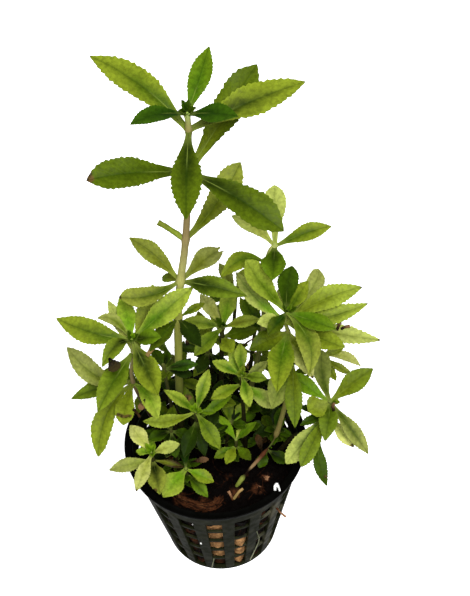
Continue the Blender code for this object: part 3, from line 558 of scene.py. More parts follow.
def add_fibres(solid, tan, rng):
    """Loose plant fibres, laid on the plug's top and bent over its lumps."""
    for _ in range(FIBRE_COUNT):
        reach = (wall_radius(SOIL_LEVEL) - 3 * MM) * math.sqrt(rng.random())
        turn = rng.uniform(0, math.tau)
        start = Vector((reach * math.sin(turn), -reach * math.cos(turn), 0))
        heading = rng.uniform(0, math.tau)
        step = rng.uniform(*FIBRE_LENGTHS) / 4
        route = []
        for _ in range(5):
            route.append(start.copy())
            heading += rng.uniform(-0.6, 0.6)
            start += Vector((math.cos(heading), math.sin(heading), 0)) * step
        if max(point.length for point in route) > wall_radius(SOIL_LEVEL) - WALL:
            continue
        for point in route:
            flat = Vector((point.x, point.y, SOIL_LEVEL))
            share = point.length / (wall_radius(SOIL_LEVEL) - WALL)
            level = SOIL_LEVEL + TOP_LUMPS * (0.6 * top_rise(flat) - EDGE_DIP * share ** 6)
            point.z = level + rng.uniform(*FIBRE_LIFTS) * MM
        thick = rng.uniform(*FIBRE_RADII)
        tone = rng.uniform(0, 0.3) ** 1.4 + plug_tan(route[2]) * 0.6
        for vert in add_tube(solid, route, [thick * 0.6, thick, thick, thick, thick * 0.4], 4):
            vert[tan] = min(1, tone)


def add_plug_edge(solid, tan, rng):
    """The plug's torn edge at the front: a low matted band of fibres that lie mostly along it."""
    points = [seen_at_height(pixel, SOIL_LEVEL) for pixel in EDGE_ROUTE]
    route = smooth_route(points, 8)
    last = len(route) - 1
    for _ in range(EDGE_FIBRES):
        first = rng.randrange(0, last - 10)
        aside = rng.uniform(-1, 1)
        slant = rng.uniform(-0.5, 0.5)
        thick = rng.uniform(*EDGE_FIBRE_RADII) * MM
        tone = rng.uniform(0.12, 0.62) * (1 - 0.5 * abs(aside))
        strand = []
        for index in range(first, first + rng.choice((6, 8, 10)), 2):
            ahead = (route[index + 1] - route[index]).normalized()
            across = aside + slant * (index - first) / 8
            out = Vector((ahead.y, -ahead.x, 0)) * across * EDGE_WIDTH / 2
            rise = EDGE_RISE * max(0, 1 - across * across) * rng.uniform(0.5, 1)
            strand.append(route[index] + out + Vector((0, 0, rise + 0.5 * MM)))
        for vert in add_tube(solid, strand, [thick] * len(strand), 4):
            vert[tan] = tone


def plug_fibre():
    """Plant fibre from nearly black, which is painted shade, through red-brown, to orange tan, with a coarse
    matted grain.
    """
    surface, tree, shader, place = new_material("plug_fibre")
    tan = attribute(tree, "tan")
    matted = grain(tree, place, 900, 6)
    tan = shifted(tree, tan, matted, 0.5, 0.5)
    dark = mix(tree, fade(tree, tan, 0.08, 0.42), SHADE_BLACK_FIBRE, DAMP_FIBRE)
    colour = mix(tree, fade(tree, tan, 0.42, 0.95), dark, DRY_FIBRE)
    height = reckon(tree, "ADD", matted, grain(tree, place, 3200, 4))
    normal = bump(tree, height, 0.8, 0.5 * MM)
    finish(tree, shader, colour, fade(tree, tan, 0, 0.6, 0.55, 0.95), normal, 0.03)
    return surface


plug = plug_mesh()
plug_rng = random.Random(PLUG_SEED)
tan_layer = plug.verts.layers.float["tan"]
add_fibres(plug, tan_layer, plug_rng)
add_plug_edge(plug, tan_layer, plug_rng)
piece("plug_fibre_block", plug, [plug_fibre()], ["growing_medium"], 60)

# The shoots
# Living stems rooted in the plug, each with rings of toothed leaves that grow from it. A leaf is thin,
# folded up along its midrib and bent over, and is paler underneath and at its margin.
CLEARANCE = 0.32 * MM
STEM_END = 0.5 * MM
STEM_END_SHARE = 0.5
STEM_TAPER = 0.42
STEM_UNEVEN = 0.06
STEM_LEAD = 0.4
STEM_LEAD_RISE = 0.08
STEM_SIDES = 14
STEM_STEPS = 14
RING_SWELL = 0.28
RING_LENGTH = 1.1 * MM
BETWEEN_RINGS = 0.94
STREAK_CHANGES = (0.75, 1.1)
ROOTED_DEPTH = 2 * MM
LEAF_SHARE = 0.29
LEAF_FOLD = 0.2
LEAF_FOLD_CHANGES = (0.7, 1.4)
FOLD_ROUNDNESS = 0.1
LEAF_TWIST = 0.12
LEAF_WAVES = (1.2, 2.6)
LEAF_RUFFLES = (0.05, 0.16)
LEAF_ARCH = 0.07
LEAF_FACING = Vector((0, -0.3, 1)).normalized()
UPRIGHT_LEAF = 0.2
LEAF_SKIN = 0.2 * MM
LEAF_POINT_FROM = 0.9999
SAME_POINT = 0.01 * MM
LEAF_SMOOTH = 50
LONG_LEAF = 13 * MM
YOUNG_LENGTH = 7
GROWN_LENGTH = 19
STALK_SHARE = 0.19
STALK_NARROWNESS = 1.15
STALK_ARCH = 0.4 * MM
STALK_UNEVEN = 0.25
WIDEST_AT = {"blade": 0.57, "round": 0.66, "full": 0.47, "bitten": 0.58, "low": 0.5}
BLUNTNESS = {"blade": 2, "round": 2.8, "full": 2.1, "bitten": 2, "low": 2}
BLUNT_FROM = 0.93
TORN_FROM = 0.7
BITE_DEPTH = 0.12
BITE_PLACE = 1.2
BITE_NARROWNESS = 2.2
RAG_DEPTH = 0.25
RAGS = 17
ROOTED_AT = 0.72
LENGTH_CHANGES = (1, 1.04, 0.96, 1.08, 1.13, 0.92, 1.19, 1.26)
TOOTH_PITCH_SHARE = 0.05
TOOTH_PITCHES = (0.75 * MM, 1.45 * MM)
TOOTH_DEPTH = 0.25
TOOTH_UNEVEN = 0.6
TEETH_FROM = 0.3
VEINS = 8
VEIN_SLANT = 0.2
VEIN_RELIEF = 0.008
MIDRIB_DEPTH = 0.1 * MM
LOW_LEAVES_OVER = SOIL_LEVEL + 3 * MM
LOW_LEAVES_UNDER = 60 * MM
LOW_LEAVES_WITHIN = RIM_RADIUS - 3 * MM
LOW_LEAF_STEP = 8
LOW_LEAF_TURN = 2.1
LOW_LEAF_STRAY = 0.4
LOW_LEAF_LENGTHS = (4.5 * MM, 8 * MM)
LOW_LEAF_RISES = (0.1, 0.7)
# Painted shade: the low leaves take dark tones
LOW_LEAF_TONES = ("shaded", "dark", "dark")
SHORT_LEAF_SHARE = 0.42
YOUNGEST_LEAVES = 5
YOUNGEST_TURN = 2.4
YOUNGEST_LENGTH = 1.5
YOUNGEST_GROWTH = 0.42
YOUNGEST_CHANGES = (0.85, 1.15)
YOUNGEST_OFF = 0.2 * MM
YOUNGEST_RISES = (0.7, 1.15)
BARE_STEMS = ("right_shoot", "small_front_shoot", "front_rim_shoot", "rim_left_shoot", "low_front_sprout",
              "right_low_shoot", "front_left_shoot", "tall_stem")
SAME_PLACE = 0.06 * MM
TORN_PLACE = 2 * MM
SHOOT_SEED = 100
PALE_GREEN = (0.20, 0.26, 0.04, 1)
# Painted shadow of the leaf's fold, beside the midrib and on it
FOLD_SHADE_GREEN = (0.012, 0.028, 0.001, 1)
MIDRIB_SHADOW = (0.01, 0.03, 0.001, 1)
UNDERSIDE = (0.2, 0.23, 0.05, 1)
UNDERSIDE_VEIN = (0.36, 0.4, 0.12, 1)
LEAF_STALK = (0.28, 0.34, 0.07, 1)
ROT_BLACK = (0.004, 0.002, 0.001, 1)
ROT_BROWN = (0.11, 0.06, 0.018, 1)
LIT_THROUGH = (0.2, 0.32, 0.008, 1)
STEM_BLOTCH = (0.1, 0.06, 0.02, 1)

# Leaf tones: the linear colours of a leaf near its base and near its tip. They are partly each leaf's own
# green
# and partly painted light and shade: dark ones, such as shaded, where a leaf lies in shade, and paler ones
# where it faces away from the lamps.
TONES = {
    "fresh": ((0.076, 0.184, 0.002), (0.145, 0.250, 0.006)),
    "light": ((0.082, 0.145, 0.003), (0.262, 0.335, 0.031)),
    "mid": ((0.055, 0.101, 0.002), (0.138, 0.195, 0.010)),
    "olive": ((0.128, 0.169, 0.005), (0.185, 0.238, 0.013)),
    "faded": ((0.103, 0.144, 0.005), (0.218, 0.260, 0.044)),
    "greyed": ((0.230, 0.277, 0.040), (0.258, 0.288, 0.060)),
    "deep": ((0.047, 0.079, 0.001), (0.053, 0.081, 0.002)),
    "ripe": ((0.045, 0.072, 0.001), (0.076, 0.116, 0.003)),
    "dusk": ((0.016, 0.029, 0.001), (0.112, 0.166, 0.008)),
    "dark": ((0.020, 0.041, 0.001), (0.034, 0.070, 0.001)),
    "pale": ((0.240, 0.309, 0.027), (0.364, 0.418, 0.086)),
    "yellow": ((0.305, 0.338, 0.052), (0.421, 0.445, 0.117)),
    "cream": ((0.420, 0.460, 0.080), (0.560, 0.580, 0.160)),
    "bright": ((0.125, 0.255, 0.006), (0.225, 0.330, 0.022)),
    "leafy": ((0.058, 0.134, 0.002), (0.094, 0.165, 0.004)),
    "shaded": ((0.003, 0.007, 0.0004), (0.011, 0.024, 0.0010)),
    # Painted shade: dead brown stuff, painted darker where it lies in shade
    "litter": ((0.005, 0.003, 0.0010), (0.030, 0.015, 0.0040)),
    "charred": ((0.001, 0.001, 0.0008), (0.024, 0.018, 0.0050)),
    "emerald": ((0.010, 0.036, 0.001), (0.031, 0.078, 0.002)),
    "brownish": ((0.139, 0.163, 0.010), (0.205, 0.240, 0.026)),
    "root": ((0.160, 0.170, 0.100), (0.300, 0.310, 0.200)),
    "rust": ((0.050, 0.016, 0.006), (0.230, 0.120, 0.060)),
    "dead": ((0.006, 0.004, 0.002), (0.130, 0.070, 0.030)),
    "tan": ((0.160, 0.110, 0.035), (0.300, 0.190, 0.070)),
}


def tones_of(tone):
    """A leaf's two colours: both of one tone, or the first of one tone and the second of another."""
    names = tone.split()
    return TONES[names[0]][0], TONES[names[-1]][1]


def leaf(x, y, tone, length=None, width=None, kind="blade", through=None):
    """A leaf by its tip's pixel, and where its bend is plain, the pixel that its midrib passes halfway.

    Its length and width are in millimetres. Without them it is as long as its whorl's, and as wide as usual.
    """
    return dict(tip=(x, y), tone=tone, length=length, width=width, kind=kind, through=through)


def whorl(x, y, behind, length, **leaves):
    """A ring of leaves by its pixel, how far it stands behind the pot's axis, and its leaves' length."""
    return dict(pixel=(x, y), behind=behind, length=length, leaves=leaves)


# Each shoot that the picture shows: where its stem leaves the medium, the stem's thickness there, and
# its whorls from the lowest one up. A whorl without leaves is only a bend in a bare stem.
# Each leaf's tone is partly painted light and shade: darker where the leaf lies in shade, paler where it
# faces away from the lamps.
SHOOTS = {
    "tall_stem": dict(root=(-10, -1), thickness=2.1, whorls=[
        whorl(178, 318, 1, 15,
              low_left=leaf(150, 351, "mid deep"),
              low_right=leaf(201, 347, "dark shaded"),
              low_small=leaf(205, 303, "light olive", 8, 2.2)),
        whorl(180.6, 281, 2, 16,
              middle_up_left=leaf(129, 237.5, "brownish", 16.8, 4.9, through=(155, 255.5)),
              middle_up_right=leaf(222, 249, "brownish greyed", 14, 5.6, kind="bitten", through=(204, 260)),
              middle_left=leaf(119, 297, "deep brownish", 16, 5.4, kind="round", through=(150, 295.5)),
              middle_right=leaf(247, 296, "dusk", 17.5, 5.6, kind="full", through=(212, 286.5)),
              middle_small=leaf(162, 277, "brownish dusk", 7, 3.0)),
        whorl(185.6, 240, 3, 22,
              upper_back=leaf(240.5, 162, "olive brownish", 23, 6.8, kind="round", through=(217.5, 202)),
              upper_broken=leaf(158, 222.5, "pale brownish", 7.8, 2.2, kind="stalk")),
        whorl(188.5, 172.6, 4, 25,
              high_left=leaf(86.6, 180, "deep ripe", 25, 7.7, kind="round", through=(137.5, 172.5)),
              high_right=leaf(284, 231, "dusk ripe", 27, 8.2, kind="round", through=(235, 196.5)),
              high_back=leaf(257, 64, "olive ripe", 30, 8.0, kind="round", through=(223, 117))),
        whorl(188.6, 130, 4.5, 28,
              top_left=leaf(89.6, 55.7, "mid olive", 29, 7.6, through=(142.5, 86.5)),
              top_front=leaf(186, 219, "dusk ripe", 27, 6.8, through=(186.5, 174)),
              top_right=leaf(305.5, 81.4, "dusk olive", 29.5, 8.0, through=(247, 103))),
        whorl(187, 114, 5, 17,
              tip_up=leaf(209, 46, "leafy", 18, 5.2, through=(198.5, 81)),
              tip_left=leaf(130.5, 124, "emerald", 15.5, 4.5, through=(158.5, 114)),
              tip_right=leaf(237.5, 116, "emerald", 14.5, 4.8, through=(212, 113)),
              tip_bud=leaf(182, 100, "emerald", 4.5, 1.5)),
    ]),
    "right_tall_stem": dict(root=(8, 3), thickness=1.8, whorls=[
        whorl(262, 335, 5, 10,
              low_dark=leaf(244, 299, "emerald leafy", 10, 4.6)),
        whorl(267, 262, 6.5, 13,
              middle_left=leaf(220, 278, "light olive", 13.4, 4.6, through=(243, 259))),
        whorl(275, 246, 7.5, 15,
              up=leaf(274, 185, "greyed pale", 15.5, 5.8, kind="round", through=(275, 212)),
              right=leaf(331.5, 226, "mid olive", 14.5, 4.7, through=(304, 233.5)),
              left=leaf(231.5, 215.5, "yellow pale", 14, 4.9, through=(253.5, 225.5)),
              front=leaf(272.5, 280, "dark leafy", 11, 6.2)),
    ]),
    "right_shoot": dict(root=(4.8, -11.4), thickness=1.4, whorls=[
        whorl(264, 453, -6, 5),
        whorl(276, 435, -4, 5),
        whorl(288, 392, -3, 12),
        whorl(292, 358, -3, 14,
              broad_down=leaf(272, 409, "light faded", 14, 6.6, kind="full"),
              low_down=leaf(295, 428, "olive dusk", 18, 4.6)),
        whorl(288, 332, -4, 18,
              down=leaf(277, 392, "leafy olive", 20, 6.6, kind="full", through=(281, 360)),
              down_right=leaf(313, 378, "olive yellow", 15.5, 5.6, kind="full"),
              dark_down=leaf(297, 366, "shaded dark", 11, 3.2),
              down_left=leaf(249, 350, "olive deep", 11.5, 5.6, kind="full")),
        whorl(285, 321, -4, 20,
              back_left=leaf(236, 272, "bright pale", 17, 4.8, through=(257, 299)),
              back_right=leaf(362, 287, "olive light", 21, 6.2, through=(323.5, 300)),
              right=leaf(368, 303, "deep light", 21, 4.8, through=(326.5, 317.5)),
              far_right=leaf(381, 340, "brownish pale", 25, 4.8, through=(333, 332.5)),
              low_right=leaf(345, 347, "faded olive", 17.5, 5.6, kind="full", through=(320, 338)),
              pale_left=leaf(257, 323, "pale", 8, 4.2),
              back=leaf(319, 269, "greyed", 15.5, 4.6, kind="round", through=(311, 290))),
        whorl(287, 312, -4, 14,
              up_left=leaf(246, 260, "light", 18, 6.2, kind="round", through=(263.5, 286)),
              pale_up=leaf(280, 287, "pale", 7.5, 3.4),
              up_right=leaf(308, 281, "mid olive", 10.5, 4.2, through=(298, 296)),
              dark_back=leaf(292, 266, "dark", 13, 5.2, kind="round", through=(287, 288)),
              front_right=leaf(336, 329, "leafy", 14, 5.0, through=(311.5, 320.5)),
              front_down=leaf(309, 375, "mid brownish", 17, 5.6, kind="full", through=(309, 342)),
              dark_front=leaf(268, 335, "emerald deep", 8.5, 3.8),
              bud=leaf(291, 305, "leafy", 2.6, 1.3)),
    ]),
    "middle_shoot": dict(root=(2, 6), thickness=1.6, whorls=[
        whorl(222, 337, 6, 10,
              dark_right=leaf(258, 329, "deep", 10.5, 5.0),
              low_right=leaf(232, 353, "olive", 8, 4.4),
              small_back=leaf(211, 301, "bright light", 9, 3.2)),
        whorl(223, 327, 6, 11.5,
              up=leaf(232, 286, "bright light", 11.5, 4.6),
              up_left=leaf(200, 294, "yellow", 11.5, 3.8),
              left=leaf(182, 321, "mid light", 11, 3.8),
              right=leaf(260, 319, "brownish light", 10.5, 3.4),
              down_left=leaf(194, 356, "mid", 11.5, 4.2),
              bud=leaf(224, 322, "emerald", 2.4, 1.2)),
    ]),
    "left_shoot": dict(root=(-13.5, -1), thickness=2.0, whorls=[
        whorl(133, 382, -6, 18,
              left_up=leaf(67, 347, "olive greyed", 19.5, 5.8, kind="round", through=(98, 377)),
              left_down=leaf(71, 399, "deep dusk", 17, 4.2, through=(100, 388)),
              far_down=leaf(98, 457, "olive", 21.5, 5.7, kind="round", through=(107.5, 412)),
              low_down=leaf(123.5, 425, "olive", 13, 5.0, kind="round", through=(126, 404)),
              down_right=leaf(158, 420, "bright light", 13, 4.8, through=(149, 397))),
        whorl(133, 352, -7, 16,
              down_left=leaf(98, 412, "mid", 19, 6.4, kind="full", through=(113, 382)),
              small_up_left=leaf(108, 300, "cream pale", 15, 3.4),
              back_right=leaf(153, 284, "brownish light", 18, 5.2, through=(145, 318))),
        whorl(132, 340, -7, 18,
              left=leaf(56, 318, "mid olive", 20.5, 6.6, through=(94, 333)),
              small_left=leaf(97, 318, "faded greyed", 10.5, 3.0, through=(114, 320)),
              up=leaf(120, 295, "bright", 12.5, 4.6, through=(127.5, 317.5)),
              up_right=leaf(193, 287, "leafy light", 20.5, 6.4, through=(162.5, 313)),
              right=leaf(161, 337, "dusk leafy", 9, 4.2),
              front_left=leaf(102, 367, "shaded mid", 11.2, 4.3, through=(116, 345.5)),
              down=leaf(158, 395, "dusk olive", 16.5, 6.5, kind="full"),
              bud=leaf(134, 333, "fresh", 2.6, 1.3)),
    ]),
    "star_shoot": dict(root=(8.6, -0.6), thickness=1.4, whorls=[
        whorl(242, 384, -5, 9,
              back_left=leaf(229, 345, "leafy light", 10, 3.0),
              back_right=leaf(268, 361, "deep pale", 8.5, 3.0),
              down_left=leaf(211, 399, "light olive", 9.5, 3.6),
              down_right=leaf(275, 408, "bright pale", 11.5, 4.4)),
        whorl(242, 376, -5, 9,
              up=leaf(240, 343, "leafy light", 9, 3.4),
              up_left=leaf(212, 361, "leafy light", 9, 3.2),
              right=leaf(267, 379, "deep bright", 7, 3.0),
              down=leaf(250, 407, "leafy light", 9, 3.4),
              bud=leaf(243, 372, "leafy", 2.0, 1.0)),
    ]),
    "front_left_shoot": dict(root=(-3.2, -1.8), thickness=1.5, whorls=[
        whorl(197, 420, -6, 11,
              down_left=leaf(184, 457, "dark shaded", 11.5, 4.2),
              back_left=leaf(182, 385, "light deep", 10, 3.0),
              low_down=leaf(205, 456, "dark shaded", 10, 3.2),
              right_up=leaf(232, 395, "leafy fresh", 11, 3.0),
              small_left=leaf(177, 406, "shaded", 7, 2.2)),
        whorl(196, 412, -6.5, 11,
              up=leaf(209, 369, "leafy light", 11.5, 3.6),
              up_left=leaf(164, 390, "leafy light", 11, 3.2),
              left=leaf(143, 421, "olive light", 14, 3.8, through=(168, 421)),
              down_right=leaf(220, 449, "mid", 12, 4.4),
              small_right=leaf(216, 412, "light leafy", 5.2, 1.9),
              bud=leaf(198, 408, "fresh", 2.2, 1.1)),
    ]),
    "rim_left_shoot": dict(root=(-15, -10), thickness=1.5, whorls=[
        whorl(153, 460, -12, 11,
              left=leaf(109, 470, "greyed", 12.5, 3.9),
              down_right=leaf(160, 494, "shaded brownish", 12, 5.2),
              thin_right=leaf(184, 467, "brownish litter", 8.5, 2.0)),
        whorl(152, 453, -12, 10,
              up_left=leaf(130, 425, "cream", 10, 4.4),
              up=leaf(151, 436, "bright", 5, 1.9),
              right=leaf(180, 444, "yellow pale", 8.5, 3.6),
              small_left=leaf(136, 451, "bright", 4.8, 2.2),
              down=leaf(136, 491, "yellow", 12, 3.8),
              bud=leaf(154, 450, "leafy", 2.2, 1.2)),
    ]),
    "small_front_shoot": dict(root=(4.8, -3), thickness=1.2, whorls=[
        whorl(236, 446, -5, 7,
              down_left=leaf(226, 464, "olive", 6.8, 3.2),
              left=leaf(214, 458, "leafy dusk", 7.2, 2.9),
              down_right=leaf(251, 460, "light deep", 6.6, 3.0)),
        whorl(236, 440, -5.5, 7,
              up_left=leaf(218, 415, "bright fresh", 8, 2.8),
              up=leaf(244, 427, "cream light", 4.4, 2.4),
              up_right=leaf(256, 422, "leafy", 7.2, 2.6)),
    ]),
    "front_rim_shoot": dict(root=(-7.5, -11), thickness=1.3, whorls=[
        whorl(187, 474, -11.6, 8,
              low_right=leaf(208, 497, "dark leafy", 9, 3.4),
              small_down=leaf(187, 482, "dark", 4, 2.2)),
        whorl(186, 469, -11.8, 9,
              up=leaf(184, 441, "emerald shaded", 8.5, 3.0),
              left=leaf(163, 497, "bright light", 10.5, 6.4),
              right=leaf(214, 482, "bright olive", 8.6, 3.8)),
    ]),
    "right_low_shoot": dict(root=(16.5, -3), thickness=1.8, whorls=[
        whorl(296, 436, -4, 5),
        whorl(319, 434, -5, 13,
              dark_tip=leaf(327, 486, "mid dark", 14, 3.8, through=(319.5, 461))),
        whorl(328, 413, -5, 16,
              dark_left=leaf(299, 407, "dark shaded", 9.5, 2.6),
              low_dark=leaf(300, 425, "dark", 9, 2.6),
              down_left=leaf(286, 464, "mid pale", 17.5, 5.4, kind="round", through=(306, 439)),
              low_left=leaf(301, 467, "faded mid", 16, 4.4, kind="round"),
              low_right=leaf(354, 447, "greyed cream", 12, 3.6, through=(342, 433))),
        whorl(330, 402, -4, 14,
              up_right=leaf(373, 368.5, "olive mid", 14.5, 6.1, through=(351.5, 384)),
              up_left=leaf(288, 373, "bright fresh", 14, 4.8, through=(307, 386)),
              up=leaf(322, 350, "deep faded", 14.5, 5.2, kind="round", through=(322.5, 376)),
              down=leaf(325, 441, "deep dusk", 11.5, 5.2, kind="full", through=(328.5, 420)),
              right_down=leaf(368.5, 454, "deep greyed", 17.5, 4.4, through=(351, 429)),
              left=leaf(308, 411, "greyed olive", 7.5, 6.4, kind="round"),
              small_right=leaf(340, 402, "mid", 3.2, 1.6)),
    ]),
    "right_back_shoot": dict(root=(17, 5), thickness=1.3, whorls=[
        whorl(322, 356, 8, 9,
              right=leaf(361, 366, "cream yellow", 11, 2.9, through=(343, 355.5)),
              low_right=leaf(352, 374, "olive brownish", 9.5, 2.3, through=(338, 366.5)),
              down=leaf(336, 381, "dark olive", 8, 2.4),
              up_right=leaf(345, 345, "greyed olive", 7, 3.2)),
    ]),
    "inner_left_shoot": dict(root=(-10, -4.5), thickness=1.3, whorls=[
        whorl(164, 369, -4, 9,
              right_up=leaf(198, 364, "shaded emerald", 9.2, 3.0),
              right=leaf(193, 375, "shaded", 8.4, 3.2),
              up=leaf(168, 350, "shaded dark", 6, 2.6),
              left_up=leaf(153, 349, "dark", 6.5, 3.2),
              down=leaf(159, 380, "faded deep", 6, 3.0)),
    ]),
    "inner_back_shoot": dict(root=(-2, 8), thickness=1.3, whorls=[
        whorl(208, 352, 8, 9,
              left=leaf(174, 347, "mid shaded", 9.2, 2.6),
              down_left=leaf(198, 373, "dusk shaded", 7.5, 3.8),
              right=leaf(233, 374, "shaded", 8.6, 3.0),
              up=leaf(198, 311, "olive", 11.5, 4.2)),
    ]),
    "back_middle_shoot": dict(root=(5, 12), thickness=1.4, whorls=[
        whorl(236, 293, 13, 9,
              up_left=leaf(219, 263, "brownish faded", 9.5, 3.2),
              left=leaf(208, 300, "dark leafy", 9, 3.4),
              back=leaf(247, 268, "cream light", 8, 3.4)),
    ]),
    "low_right_sprout": dict(root=(15, 3), thickness=1.2, whorls=[
        whorl(275, 430, 1, 7,
              up_left=leaf(262, 416, "dark deep", 6, 3.2),
              right=leaf(292, 441, "shaded leafy", 6.5, 3.2),
              up=leaf(283, 406, "emerald dark", 8, 3.0)),
    ]),
    "under_left_sprout": dict(root=(-11, -8), thickness=1.2, whorls=[
        whorl(171, 431, -7, 8,
              left=leaf(148, 440, "shaded dark", 7.5, 3.4),
              right=leaf(191, 437, "dark", 7, 3.4),
              up=leaf(173, 405, "dark deep", 8, 3.0),
              left_up=leaf(157, 404, "dark deep", 9, 4.4, kind="low"),
              down=leaf(176, 458, "shaded dark", 7.5, 3.2)),
    ]),
    "under_middle_sprout": dict(root=(2.4, -0.6), thickness=1.2, whorls=[
        whorl(231, 424, -2, 8,
              up_left=leaf(225, 393, "mid", 8.5, 3.4),
              up_right=leaf(248, 402, "bright light", 8.5, 3.4),
              right=leaf(256, 414, "bright dark", 8, 3.0)),
    ]),
    "under_inner_sprout": dict(root=(-1.2, 3.4), thickness=1.1, whorls=[
        whorl(215, 402, 1.5, 8,
              left=leaf(196, 388, "shaded", 7, 3.2),
              up=leaf(222, 380, "shaded", 8, 3.2),
              right=leaf(236, 404, "shaded mid", 7, 3.2),
              down=leaf(212, 428, "shaded", 8, 3.4)),
    ]),
    "under_back_sprout": dict(root=(-5.4, 2.2), thickness=1.2, whorls=[
        whorl(186, 392, 1.5, 8,
              left=leaf(160, 384, "shaded", 8, 3.4),
              right=leaf(208, 399, "shaded", 7.5, 3.2)),
    ]),
    "low_front_sprout": dict(root=(13, -3.5), thickness=1.1, whorls=[
        whorl(267, 450, -3.6, 6,
              down=leaf(259, 468, "dark", 5.8, 3.4),
              right=leaf(288, 463, "shaded dark", 7, 3.6)),
    ]),
}
SEPARATE_LEAVES = ("tall_stem", "right_tall_stem")

# Brown and black spots on leaves: shares of the leaf's length and of its half width, and millimetres
SPOTS = {
    ("tall_stem", "high_left"): ((1.0, 0, 2.6), (0.96, 0.3, 1.2)),
    ("tall_stem", "top_left"): ((1.0, 0, 0.7),),
    ("tall_stem", "middle_left"): ((1.0, 0, 1.2),),
    ("right_shoot", "far_right"): ((1.0, 0, 1.3),),
    ("right_shoot", "down_right"): ((1.0, 0, 1.2),),
    ("right_shoot", "back_right"): ((1.0, 0, 0.9),),
    ("right_shoot", "right"): ((1.0, 0, 0.7),),
    ("front_left_shoot", "back_left"): ((0.62, 0.1, 1.6),),
    ("right_low_shoot", "dark_tip"): ((0.82, -0.3, 0.9),),
    ("right_low_shoot", "low_right"): ((0.95, 0, 1.5),),
    ("left_shoot", "low_down"): ((0.78, -0.6, 1.0), (0.8, -0.2, 1.1), (0.8, 0.2, 1.1), (0.78, 0.6, 1.0)),
    ("rim_left_shoot", "down"): ((1.0, 0, 0.9),),
    ("rim_left_shoot", "down_right"): ((0.9, 0.4, 1.1),),
}


def tip_choices(base, tip, length):
    """Where a leaf of this length can end on its tip's line of sight."""
    if isinstance(tip, Vector):
        return [tip]
    line = sight_line(tip)
    nearest = CAMERA_PLACE + line * (base - CAMERA_PLACE).dot(line)
    spare = length * length - (nearest - base).length_squared
    if spare <= 0:
        return [nearest]
    reach = math.sqrt(spare)
    return [nearest + line * reach, nearest - line * reach]


def points_of(node):
    """A search tree of a CAD node's points."""
    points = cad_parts[node].data.vertices
    tree = KDTree(len(points))
    for index, vert in enumerate(points):
        tree.insert(vert.co, index)
    tree.balance()
    return tree


def grown_tip(base, spec, usual_length, solid):
    """Where the leaf's solid ends, or None where it has none. A low leaf needs none."""
    length = (spec["length"] or usual_length) * MM
    if spec["kind"] == "low":
        return tip_choices(base, spec["tip"], length)[0]
    best = None
    for change in LENGTH_CHANGES:
        for tip in tip_choices(base, spec["tip"], length * change):
            apart = solid.find(tip)[2]
            if best is None or apart < best[0]:
                best = (apart, tip)
    near_enough = SAME_PLACE if spec["kind"] in ("blade", "round", "full") else TORN_PLACE
    return best[1] if best[0] < near_enough else None


def blade_half_width(along, kind):
    """Half of a blade's width as a share of its widest, from a narrow stalk at 0 to the point at 1."""
    widest = WIDEST_AT[kind]
    if along < widest:
        share = along / widest
        return STALK_SHARE + (1 - STALK_SHARE) * (share * share * (3 - 2 * share)) ** STALK_NARROWNESS
    return 1 - ((along - widest) / (1 - widest)) ** BLUNTNESS[kind]


def bend_point(base, tip, facing, through):
    """What a leaf bends towards, so that it arches over, and its halfway point is seen at its pixel."""
    middle = (base + tip) / 2 + facing * LEAF_ARCH * 2 * (tip - base).length
    if through is None:
        return middle
    halfway = (base + middle * 2 + tip) / 4
    line = sight_line(through)
    return (CAMERA_PLACE + line * (halfway - CAMERA_PLACE).dot(line)) * 2 - (base + tip) / 2


def shoot_layers(shoot):
    """The values that a shoot's mesh holds at its points: what the leaf and stem materials read."""
    numbers = ("along", "across", "underside", "chance", "spoilt", "grown")
    layers = {name: shoot.verts.layers.float.new(name) for name in numbers}
    for name in ("tone", "tip_tone"):
        layers[name] = shoot.verts.layers.float_color.new(name)
    return layers


def set_tones(vert, layers, along, tones):
    """Gives a point how far along its leaf or stem it is, and the two colours at that one's ends."""
    vert[layers["along"]] = along
    vert[layers["tone"]] = (*tones[0], 1)
    vert[layers["tip_tone"]] = (*tones[1], 1)


def pointing(heading, rise):
    """A direction by its heading and its rise, in radians."""
    return Vector((math.cos(heading) * math.cos(rise), math.sin(heading) * math.cos(rise), math.sin(rise)))


def bite(along, across):
    """How far a bitten leaf's end is eaten back, more on one side, with a ragged edge."""
    torn = max(0, math.sin(across * BITE_NARROWNESS + BITE_PLACE)) + RAG_DEPTH * math.sin(across * RAGS)
    return BITE_DEPTH * torn * ((along - TORN_FROM) / (1 - TORN_FROM)) ** 2


def close_leaf(shoot, layers, made, facing, bitten):
    """Makes a leaf's bent grid into a thin closed shell, and draws a whole leaf's end to a point."""
    if not bitten:
        ends = [vert for vert in made if vert[layers["along"]] > LEAF_POINT_FROM]
        bmesh.ops.remove_doubles(shoot, verts=ends, dist=SAME_POINT)
    upper = {vert for vert in made if vert.is_valid}
    faces = list({face for vert in upper for face in vert.link_faces})
    for face in faces:
        face.normal_update()
    if sum(face.normal.dot(facing) for face in faces) < 0:
        bmesh.ops.reverse_faces(shoot, faces=faces)
    added = bmesh.ops.solidify(shoot, geom=faces, thickness=LEAF_SKIN)["geom"]
    shell = list({item for item in added if isinstance(item, bmesh.types.BMFace)}
                 | {face for vert in upper if vert.is_valid for face in vert.link_faces})
    for face in shell:
        face.material_index = 1
        for vert in face.verts:
            vert[layers["underside"]] = 0 if vert in upper else 1
    bmesh.ops.recalc_face_normals(shoot, faces=shell)


